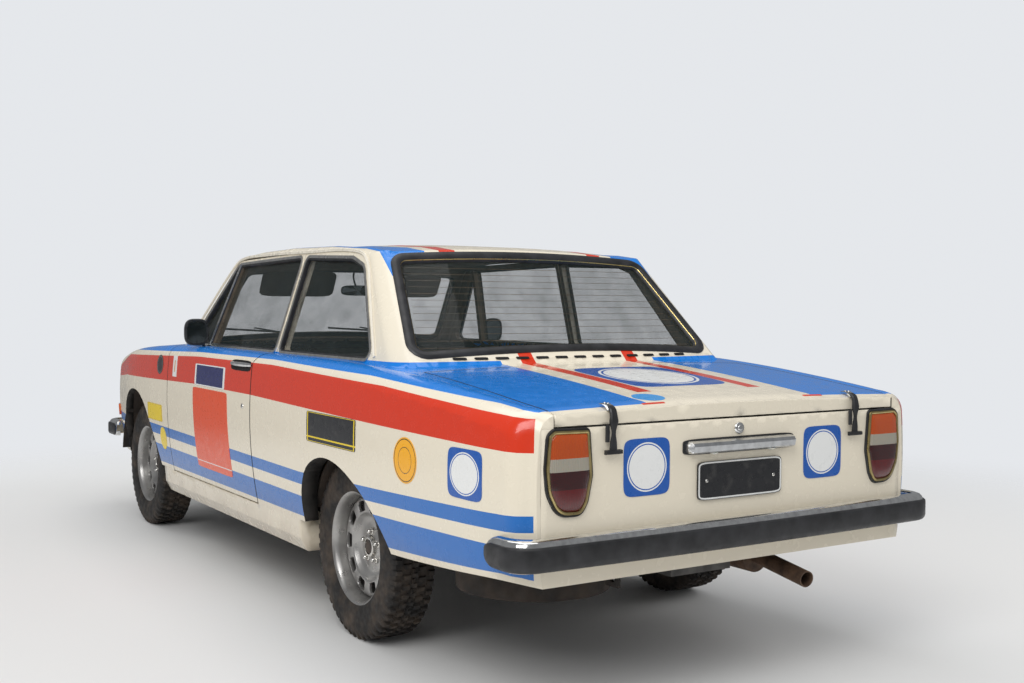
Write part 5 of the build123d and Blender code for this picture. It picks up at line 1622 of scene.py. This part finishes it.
# share of the half size, depth from the face of the glass
MIRROR_DEPTHS = [
    (0.0005, 0.0005), (0.80, 0.0005), (0.86, 0.000), (0.94, 0.000), (0.99, 0.003), (1.0, 0.008),
    (0.97, 0.017), (0.86, 0.0245), (0.55, 0.0285), (0.0005, 0.0298)
]
MIRROR_CASE = dull_paint("mirror_case", (0.016, 0.017, 0.019), (0.035, 0.036, 0.038), 0.30)
MIRROR_GLASS = bright_metal("mirror_glass", (0.32, 0.36, 0.38), 0.02)
for side, hand in SIDES:
    flip = np.array((1, hand, 1))
    ring = soft_square(12, 3.2) * MIRROR_HALF
    share, depth = np.array(MIRROR_DEPTHS).T[..., None]
    points = points_of(depth, share * ring[:, 0], share * ring[:, 1])
    points = (MIRROR_MIDDLE + points) * flip
    case = Grids().add(points[:2], False, True, mark=1).add(points[1:], False, True, mark=0)
    stem = np.array([
        (0.566, 0.776, 0.990), (0.564, 0.782, 1.000), (0.562, 0.795, 1.010), (0.560, 0.808, 1.022)
    ])
    stem_ring = soft_square(3, 2) * 0.0075
    case.bar(smooth_line(stem, 10) * flip, (1, 0, 0), stem_ring)
    case.piece(
        "mirror_case_" + side, "door_" + side, "mirror_case", [MIRROR_CASE, MIRROR_GLASS],
        ["mirror_" + side]
    )

# Front lamps and grille: sealed-beam lamps with fluted glass in plated rings on dark surrounds, and a
# stamped aluminium grille with a bright frame. The amber corner lamps are moulded acrylic.
LAMP_MIDDLE = (0.546, 0.706)
LAMP_X = 2.2205
LAMP_R = 0.089
LAMP_FLUTES = 28
LAMP_RING = np.array([
    (-0.006, -0.004), (-0.006, 0.006), (-0.002, 0.012), (0.003, 0.010), (0.006, 0.002), (0.006, -0.004),
])
BEZEL_HALF = (0.1045, 0.0985)
GRILLE_X = 2.2195
GRILLE_HALF = (0.4335, 0.0940)
SURROUND = dull_paint("lamp_surround", (0.10, 0.10, 0.10), (0.17, 0.17, 0.165), 0.45)
AMBER_LENS = banded_lens("amber_lens", [(0.0, (0.66, 0.11, 0.004))])


def lamp_glass():
    """Return pressed glass over a bright reflector: a mirror-like base under upright flutes."""
    material, shader, tree, coordinate, _ = blank_finish("lamp_glass")
    tint = patches(tree, coordinate, 18, 4, 0.3, 0.8, 0.35)
    base = tone_of(tree, (0.62, 0.64, 0.66))
    tree.links.new(mixed(tree, base, (0.40, 0.38, 0.34), tint), shader.inputs["Base Color"])
    set_values(shader, {"Metallic": 0.65, "Roughness": 0.12, "Coat Weight": 1, "Coat Roughness": 0.02})
    fluted(tree, shader, coordinate, LAMP_FLUTES, 0.5)
    return material


LAMP_GLASS = lamp_glass()
circle = soft_square(16, 2)
bezel_square = soft_square(16, 16) * BEZEL_HALF
for side, hand in SIDES:
    centre = np.array((LAMP_X, hand * LAMP_MIDDLE[0], LAMP_MIDDLE[1]))
    rows = []
    for x, ring in (
        (-0.030, circle * 0.092), (-0.002, circle * 0.095), (0.000, circle * 0.097),
        (0.000, bezel_square * 0.96), (-0.002, bezel_square * 0.99), (-0.008, bezel_square),
        (-0.014, bezel_square),
    ):
        rows.append(centre + points_of(x, *ring.T))
    bezel = Grids().add(np.array(rows), False, True)
    replaced = ["headlamps"] if hand > 0 else []
    bezel.piece("lamp_surround_" + side, "root", "grille_black", SURROUND, replaced)
    around = centre + points_of(-0.001, *(circle * 0.0925).T)
    ring = Grids().frame(around, (1, 0, 0), LAMP_RING, centre)
    ring.piece("lamp_ring_" + side, "root", "bumper_chrome", CHROME)
    glass = dome(centre, (1, 0, 0), LAMP_R, 0.014, 48, 2.2, 0.001)
    Grids().capped(glass).piece("lamp_glass_" + side, "root", "window_glass", LAMP_GLASS)
frame_line = points_of(GRILLE_X, *(soft_square(16, 30) * GRILLE_HALF).T) + (0, 0, LAMP_MIDDLE[1])
frame_bar = np.array([(-0.005, -0.012), (-0.005, 0.001), (-0.001, 0.003), (0.004, 0.001), (0.005, -0.012)])
surround = Grids().frame(frame_line, (1, 0, 0), frame_bar, frame_line.mean(0))
surround.piece("grille_frame", "root", "bumper_chrome", STAINLESS)


def coat(material, *names):
    """Give a material to CAD nodes that show as they are."""
    for name in names:
        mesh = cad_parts[name].data
        mesh.materials.clear()
        mesh.materials.append(material)


coat(ALUMINIUM, "grille")
coat(AMBER_LENS, "front_indicators")

# Wipers: spring-steel arms painted black and clamped on two spindles, with rubber blades parked along
# the foot of the windscreen.
SCREEN_FACING = (0.69, 0, 0.72)
SCREEN_FOOT = (1.074, 0.900)
SCREEN_LEAN = 1.057
SCREEN_BOW = 0.056
SCREEN_HALF = 0.69
WIPER_BLACK = dull_paint("wiper_black", (0.012, 0.012, 0.012), (0.030, 0.030, 0.030), 0.4)


def on_windscreen(y, z, proud):
    """Return points of the windscreen at y and z: its centre line leans back, its ends curve back."""
    x = SCREEN_FOOT[0] - (z - SCREEN_FOOT[1]) * SCREEN_LEAN - SCREEN_BOW * (y / SCREEN_HALF) ** 2
    return points_of(x + SCREEN_FACING[0] * proud, y, z + SCREEN_FACING[2] * proud)


wipers = Grids()
for spindle, tip in ((0.10, 0.585), (-0.50, -0.015)):
    share = np.linspace(0, 1, 16)
    lift = 0.020 + 0.004 * np.sin(np.pi * share)
    arm = on_windscreen(spindle + (tip - spindle) * 0.62 * share, 1.002 + 0.052 * share, lift)
    wipers.bar(arm, SCREEN_FACING, soft_square(2, 2) * (0.0045, 0.0028))
    blade = on_windscreen(spindle + 0.06 + (tip - spindle - 0.06) * share, 1.030 + 0.026 * share, 0.014)
    wipers.bar(blade, SCREEN_FACING, soft_square(2, 2) * (0.0035, 0.0065))
    wipers.capped(dome(on_windscreen(spindle, 1.002, 0.008), SCREEN_FACING, 0.011, 0.016, 16, 4))
wipers.piece("wipers", "root", "bumper_chrome", WIPER_BLACK)

# Seats: foam on sprung frames under dark brown vinyl with a sewn centre, the front ones on two steel
# runners each. Every cushion is a closed crowned form, drawn in at its edges and over its seams.
SEAT_VINYL = (0.035, 0.022, 0.015)


def seat_cover():
    """Return dark brown vinyl: a fine grain, creases, and lighter patches on the rubbed places, partly wear
    and partly a painted sheen.
    """
    material, shader, tree, coordinate, _ = blank_finish("seat_cover")
    # Lighter colour in noise patches: rubbed wear, and a painted sheen.
    rubbed_wear_and_sheen = patches(tree, coordinate, 7, 5, 0.45, 0.75, 0.8)
    colour = mixed(tree, tone_of(tree, SEAT_VINYL), (0.085, 0.058, 0.040), rubbed_wear_and_sheen)
    tree.links.new(colour, shader.inputs["Base Color"])
    roughened(tree, shader, coordinate, 20, 0.38, 0.6)
    bumped(tree, shader, noise_of(tree, coordinate, 420, 4), 0.35, 0.0010)
    return material


def cushion(half, crown):
    """Return a cushion about the origin, lying flat: a grid over longitude and latitude whose sines and
    cosines are raised to powers under one, so that it fills its box, its top crowned by cos x cos y."""
    turn = np.linspace(0, 2 * np.pi, 96, endpoint=False)[None, :]
    lean = np.linspace(-np.pi / 2 + 0.01, np.pi / 2 - 0.01, 48)[:, None]
    x = signed_power(np.cos(turn), 0.42) * signed_power(np.cos(lean), 0.50)
    y = signed_power(np.sin(turn), 0.42) * signed_power(np.cos(lean), 0.50)
    z = signed_power(np.sin(lean), 0.62)
    swell = crown * np.cos(x * np.pi / 2.2) * np.cos(y * np.pi / 2.2) * np.clip(z, 0, 1)
    return points_of(x * half[0], y * half[1], z * half[2] + swell)


def signed_power(value, exponent):
    """Return a value's power with its sign kept."""
    return np.sign(value) * np.abs(value) ** exponent


def baked(holder):
    """Return the mesh of an object with its modifiers worked in."""
    graph = bpy.context.evaluated_depsgraph_get()
    return bpy.data.meshes.new_from_object(holder.evaluated_get(graph))


def swollen(form):
    """Return a pad's mesh after it swelled as cloth under pressure, no point moved past the cap; its
    voxel mesh is relaxed into the sewn cover's even spread, then subdivided once."""
    holder = bpy.data.objects.new("pad", form)
    bpy.context.scene.collection.objects.link(holder)
    voxels = holder.modifiers.new("voxels", "REMESH")
    voxels.mode = "VOXEL"
    voxels.voxel_size = PAD_VOXEL
    holder.data = baked(holder)
    holder.modifiers.clear()
    start = read_points(holder.data)
    cloth = holder.modifiers.new("cloth", "CLOTH")
    cloth.settings.use_pressure = True
    cloth.settings.uniform_pressure_force = PAD_PRESSURE
    cloth.settings.effector_weights.gravity = 0
    cloth.point_cache.frame_start = 1
    cloth.point_cache.frame_end = PAD_FRAMES
    for number in range(1, PAD_FRAMES + 1):
        bpy.context.scene.frame_set(number)
    shift = read_points(baked(holder)) - start
    bpy.context.scene.frame_set(1)
    holder.modifiers.clear()
    length = np.linalg.norm(shift, axis=1, keepdims=True)
    shift *= np.minimum(1, PAD_CAP / np.maximum(length, 1e-9))
    holder.data.vertices.foreach_set("co", (start + shift).ravel())
    finer = holder.modifiers.new("finer", "SUBSURF")
    finer.levels = finer.render_levels = 1
    holder.data = baked(holder)
    mesh = holder.data
    bpy.data.objects.remove(holder)
    return mesh


def sewn(points, half, channels):
    """Return a flat-lying pad's points with its top drawn in over the channels and the edge seam."""
    x, y = points[:, 0] / half[0], points[:, 1] / half[1]
    top = np.clip(points[:, 2] / half[2], 0, 1)
    groove = sum(np.exp(-(((y - line) * half[1]) / 0.006) ** 2) for line in channels)
    edge = np.exp(-((np.maximum(np.abs(x), np.abs(y)) - 0.84) / 0.018) ** 2)
    drawn = points.copy()
    drawn[:, 2] -= (0.006 * groove * (np.abs(x) < 0.82) + 0.007 * edge) * top
    return drawn


def turned(points, degrees, at):
    """Return points turned about the y axis and moved."""
    angle = np.radians(degrees)
    x, y, z = points[..., 0], points[..., 1], points[..., 2]
    along, up = x * np.cos(angle) + z * np.sin(angle), z * np.cos(angle) - x * np.sin(angle)
    return points_of(along, y, up) + np.array(at)


COVER = seat_cover()
PAD_VOXEL = 0.009
PAD_PRESSURE = 4
PAD_FRAMES = 20
PAD_CAP = 0.022
SEAT_Y = 0.365
FRONT_CHANNELS = (-0.55, -0.33, -0.11, 0.11, 0.33, 0.55)
REAR_CHANNELS = np.linspace(-0.85, 0.85, 13)
# kind, slant in degrees, half size, crown, channels, node replaced, places by name
SEATS = [
    ("front_cushion", -4, (0.232, 0.224, 0.044), 0.012, FRONT_CHANNELS, "front_seats",
     [("left", (0.120, SEAT_Y, 0.436)), ("right", (0.120, -SEAT_Y, 0.436))]),
    ("front_back", 72, (0.242, 0.222, 0.036), 0.010, FRONT_CHANNELS, None,
     [("left", (-0.226, SEAT_Y, 0.672)), ("right", (-0.226, -SEAT_Y, 0.672))]),
    (
        "rear_cushion", -3, (0.176, 0.552, 0.042), 0.012, REAR_CHANNELS, "rear_seat",
        [("bench", (-0.872, 0.0, 0.500))]
    ),
    ("rear_back", 76, (0.174, 0.552, 0.032), 0.012, REAR_CHANNELS, None, [("bench", (-1.118, 0.0, 0.735))]),
]
for kind, slant, half, crown, channels, node, places in SEATS:
    pad = swollen(Grids().capped(cushion(half, crown)).mesh(kind, COVER))
    flat_points = sewn(read_points(pad), half, channels)
    for side, at in places:
        mesh = pad.copy()
        mesh.name = f"{kind}_{side}"
        mesh.vertices.foreach_set("co", turned(flat_points, slant, at).ravel())
        mesh.polygons.foreach_set("use_smooth", np.ones(len(mesh.polygons), bool))
        replaced = [node] if node and side != "right" else []
        place(mesh, "root", "seat_cover", *replaced)
runners = Grids()
for hand in (1, -1):
    for offset in (-0.185, 0.185):
        line = points_of(np.linspace(-0.055, 0.295, 6), hand * SEAT_Y + offset, 0.330)
        runners.bar(line, (0, 0, 1), soft_square(2, 8) * (0.014, 0.056))
    pivot = points_of(np.linspace(-0.150, -0.080, 5), hand * SEAT_Y, np.linspace(0.425, 0.400, 5))
    runners.bar(pivot, (0, 0, 1), soft_square(2, 8) * (0.200, 0.010))
FRAME_BLACK = dull_paint("seat_frame", (0.015, 0.014, 0.013), (0.05, 0.045, 0.04), 0.5)
runners.piece("seat_runners", "root", "seat_cover", FRAME_BLACK)

# Dashboard: a padded black top over a painted steel panel, with a hood over two round dials, a lidded
# box, a row of knobs and a shelf under the screen. The column is a steel tube in a plastic shroud.
DASH_PROFILE = np.array([
    (0.575, 0.762), (0.566, 0.800), (0.562, 0.850), (0.564, 0.880), (0.574, 0.905), (0.600, 0.922),
    (0.640, 0.929), (0.800, 0.930), (0.956, 0.928), (0.958, 0.906), (0.760, 0.902), (0.758, 0.762),
])
VINYL = dull_paint("dash_vinyl", (0.010, 0.010, 0.010), (0.026, 0.024, 0.022), 0.62, 22)
DASH_X = 0.5625
dash_y = np.concatenate([[-0.598, -0.590], np.linspace(-0.58, 0.58, 24), [0.590, 0.598]])
dash_share = np.concatenate([[0.94, 0.99], np.ones(24), [0.99, 0.94]])
dash_middle = np.array((0.72, 0.86))
dash_rows = dash_middle + (DASH_PROFILE[None] - dash_middle) * dash_share[:, None, None]
dash_points = points_of(dash_rows[..., 0], dash_y[:, None], dash_rows[..., 1])
Grids().capped(dash_points).piece("dash_top", "root", "cabin_trim", VINYL, ["dashboard"])
dash_parts = Grids()
hood_y = SEAT_Y + 0.155 * np.cos(np.linspace(0, np.pi, 19))
hood_z = 0.862 + 0.062 * np.sin(np.linspace(0, np.pi, 19)) ** 0.6
hood_line = points_of(0.570, hood_y, hood_z)
dash_parts.bar(hood_line, (-1, 0, 0), soft_square(3, 3) * (0.004, 0.010))


def on_dash(u, v):
    """Put a patch's u and v on the dashboard's flat face at the place of the lidded box."""
    points = points_of(0.5630, -0.360 - u, 0.835 + v)
    return points, np.broadcast_to((-1.0, 0, 0), points.shape)


box_points, _ = flat_patch(0.150, 0.040, 10, on_dash)
dash_parts.capped(box_points)
dash_parts.piece("dash_hood_and_box", "root", "cabin_trim", VINYL)
DIAL = dull_paint("dial_face", (0.006, 0.006, 0.007), (0.014, 0.014, 0.015), 0.2)
dials = Grids()
dial_rings = Grids()
for y, z, radius in ((0.430, 0.862, 0.044), (0.300, 0.862, 0.044), (SEAT_Y, 0.822, 0.016)):
    spot = np.array((DASH_X, y, z))
    dials.capped(dome(spot, (-1, 0, 0), radius, 0.002, 32, 6))
    angle = np.linspace(0, 2 * np.pi, 32, endpoint=False)
    ring_line = spot + points_of(0, np.cos(angle) * radius, np.sin(angle) * radius)
    dial_rings.frame(ring_line, (-1, 0, 0), soft_square(2, 2) * 0.0022, spot)
for y in (0.16, 0.10, 0.04, -0.04, -0.10):
    dial_rings.capped(dome((DASH_X, y, 0.840), (-1, 0, 0), 0.010, 0.014, 16, 5))
dials.piece("dash_dials", "root", "cabin_trim", DIAL)
dial_rings.piece("dash_rings_and_knobs", "root", "bumper_chrome", STAINLESS)

# Steering wheel: a black plastic rim with finger grips, moulded over a steel ring on three spokes, and a
# padded centre with a plain cap. It turns on a raked column.
WHEEL_AT = np.array((0.425, SEAT_Y, 0.815))
WHEEL_RAKE = np.radians(22)
WHEEL_R = 0.1905
SPOKE_END = 0.186
AXIS = np.array((np.cos(WHEEL_RAKE), 0, -np.sin(WHEEL_RAKE)))
UP = np.array((np.sin(WHEEL_RAKE), 0, np.cos(WHEEL_RAKE)))
ACROSS = np.array((0.0, 1, 0))
turn = np.linspace(0, 2 * np.pi, 96, endpoint=False)
rim_line = WHEEL_AT + WHEEL_R * (np.cos(turn)[:, None] * ACROSS + np.sin(turn)[:, None] * UP)
grip = 1 + 0.08 * np.cos(turn * 24) * (np.cos(turn) ** 2 > 0.25)
rim_points = swept(rim_line, -AXIS, soft_square(3, 2) * 0.0095, True, WHEEL_AT)
rim_points = rim_line[:, None] + (rim_points - rim_line[:, None]) * grip[:, None, None]
BAKELITE = dull_paint("wheel_plastic", (0.008, 0.008, 0.008), (0.018, 0.017, 0.016), 0.3)
steering = Grids().looped(rim_points)
for degrees in (90, 210, 330):
    angle = np.radians(degrees)
    away = np.cos(angle) * ACROSS + np.sin(angle) * UP
    reach = np.linspace(0.020, SPOKE_END, 12)[:, None]
    dish = AXIS * (0.010 * (1 - (reach / SPOKE_END) ** 2))
    spoke = WHEEL_AT + away * reach + dish
    steering.bar(spoke, -AXIS, soft_square(2, 4) * (0.013, 0.0035))
steering.piece("steering_rim", "steering_wheel", "cabin_trim", BAKELITE, ["steering_wheel"], np.radians(50))
hub = dome(WHEEL_AT + AXIS * 0.012, -AXIS, 0.040, 0.020, 36, 3, 0.004)
Grids().capped(hub).piece("steering_centre", "steering_wheel", "cabin_trim", VINYL)
shroud = WHEEL_AT + AXIS * np.linspace(0.026, 0.215, 8)[:, None]
wider = np.linspace(0.85, 1.25, 8)[:, None, None]
tube = swept(shroud, UP, soft_square(3, 3) * 0.024)
tube = shroud[:, None] + (tube - shroud[:, None]) * wider
Grids().capped(tube).piece("column_shroud", "root", "cabin_trim", VINYL)

# Sun visors and inner mirror: brown padded vinyl over card, hung under the head of the screen, and a
# mirror on a short plated stem between them.
VISOR = dull_paint("visor_vinyl", (0.070, 0.048, 0.030), (0.115, 0.082, 0.055), 0.65)
# x of a layer of the pad, its size as a share of the whole
VISOR_LAYERS = np.array([
    (0.560, 0.01), (0.559, 0.85), (0.562, 0.97), (0.568, 1.0), (0.574, 0.97), (0.577, 0.85), (0.576, 0.01),
])
visors = Grids()
for y in (0.300, -0.300):
    outline = soft_square(8, 8) * (0.195, 0.062)
    across, up = VISOR_LAYERS[:, 1:] * outline[:, 0], VISOR_LAYERS[:, 1:] * outline[:, 1]
    rows = points_of(VISOR_LAYERS[:, :1] - 0.55 * up, y + across, 1.292 + up)
    visors.capped(rows)
visors.piece("sun_visors", "root", "cabin_trim", VISOR)
rear_view = Grids()
mirror_ring = soft_square(8, 4) * (0.092, 0.026)
MIRROR_STEPS = [
    (1, ((0.0, 0.01), (0.0, 0.94))),
    (0, ((0.0, 0.94), (-0.001, 1.0), (0.008, 0.98), (0.020, 0.6), (0.022, 0.01))),
]
for mark, steps in MIRROR_STEPS:
    rows = [points_of(0.520 + x, *(mirror_ring * share + (0, 1.262)).T) for x, share in steps]
    rear_view.add(np.array(rows), False, True, mark=mark)
stem_line = smooth_line([(0.535, 0, 1.270), (0.560, 0, 1.300), (0.575, 0, 1.330), (0.570, 0, 1.352)], 8)
rear_view.bar(stem_line, (0, 1, 0), soft_square(2, 2) * 0.005)
rear_view.piece("inner_mirror", "root", "mirror_case", [MIRROR_CASE, MIRROR_GLASS])

# Rear coil springs: round spring-steel wire, coiled hot, hardened and sprayed black, standing between
# the rear axle and the floor.
COIL_TURNS = 5.5
COIL_R = 0.0570
coils = Grids()
for y in (0.470, -0.470):
    wind = np.linspace(0, 2 * np.pi * COIL_TURNS, 180)
    circle = COIL_R * np.array((np.cos(wind), np.sin(wind)))
    line = points_of(circle[0] - 1.100, y + circle[1], np.linspace(0.331, 0.413, 180))
    coils.bar(line, (0, 0, 1), soft_square(2, 2) * 0.0062)
SPRING_STEEL = dull_paint("spring_steel", (0.020, 0.018, 0.017), (0.085, 0.060, 0.045), 0.5)
coils.piece("rear_springs", "root", "chassis_black", SPRING_STEEL)

# What lies under the car: black sprayed underseal on the shell's sheet steel, cast and forged iron for
# the axle, arms and engine, a rusty welded exhaust and a galvanised tank.
UNDERSEAL = dull_paint("underseal", (0.012, 0.010, 0.009), (0.060, 0.042, 0.030), 0.8, 10)
FORGED = dull_paint("forged_iron", (0.022, 0.019, 0.017), (0.080, 0.060, 0.046), 0.65, 18)
RUSTY = dull_paint("rusty_steel", (0.045, 0.024, 0.014), (0.150, 0.085, 0.048), 0.7, 26)
TANK = dull_paint("tank_zinc", (0.055, 0.052, 0.048), (0.150, 0.142, 0.132), 0.5, 16)
CARPET = dull_paint("trim_board", (0.020, 0.015, 0.011), (0.050, 0.037, 0.027), 0.9, 30)
coat(
    UNDERSEAL, "floor_pan", "boot_floor", "wheel_house_left", "wheel_house_right", "inner_wings",
    "front_crossmember"
)
coat(FORGED, "engine", "upper_arms", "knuckle_left", "knuckle_right", "rear_axle", "propshaft")
coat(RUSTY, "exhaust")
coat(TANK, "fuel_tank")
coat(CARPET, "firewall", "rear_bulkhead")

# Front wheel liners: sheet steel arched over the tyre between the inner wing and the wing, seam welded
# all round and sprayed with underseal, so that no road dirt reaches the engine bay.
LINER_END = 0.075
LINER_OFFSETS = np.array([(0.405, 0.003), (0.815, 0.003), (0.815, 0.006), (0.405, 0.006)])


def liner(hand):
    """Return a wheel liner: the arch's smooth curve, drawn in from the outside to the inner wing, with
    each corner of its thin section moved out from the axle by its own offset."""
    middle, corners = ARCHES[0]
    corners = np.array(corners) - (middle, AXLE_HEIGHT)
    length = run_length(corners)
    arm = smooth_between(np.linspace(LINER_END, length[-1] - LINER_END, 64), length, corners)
    outward = arm / np.linalg.norm(arm, axis=1)[:, None]
    curve = arm[:, None] + outward[:, None] * LINER_OFFSETS[None, :, 1:]
    return points_of(middle + curve[..., 0], hand * LINER_OFFSETS[:, 0], AXLE_HEIGHT + curve[..., 1])


for side, hand in SIDES:
    sheet = Grids().capped(liner(hand))
    sheet.piece("front_liner_" + side, "root", "chassis_black", UNDERSEAL)
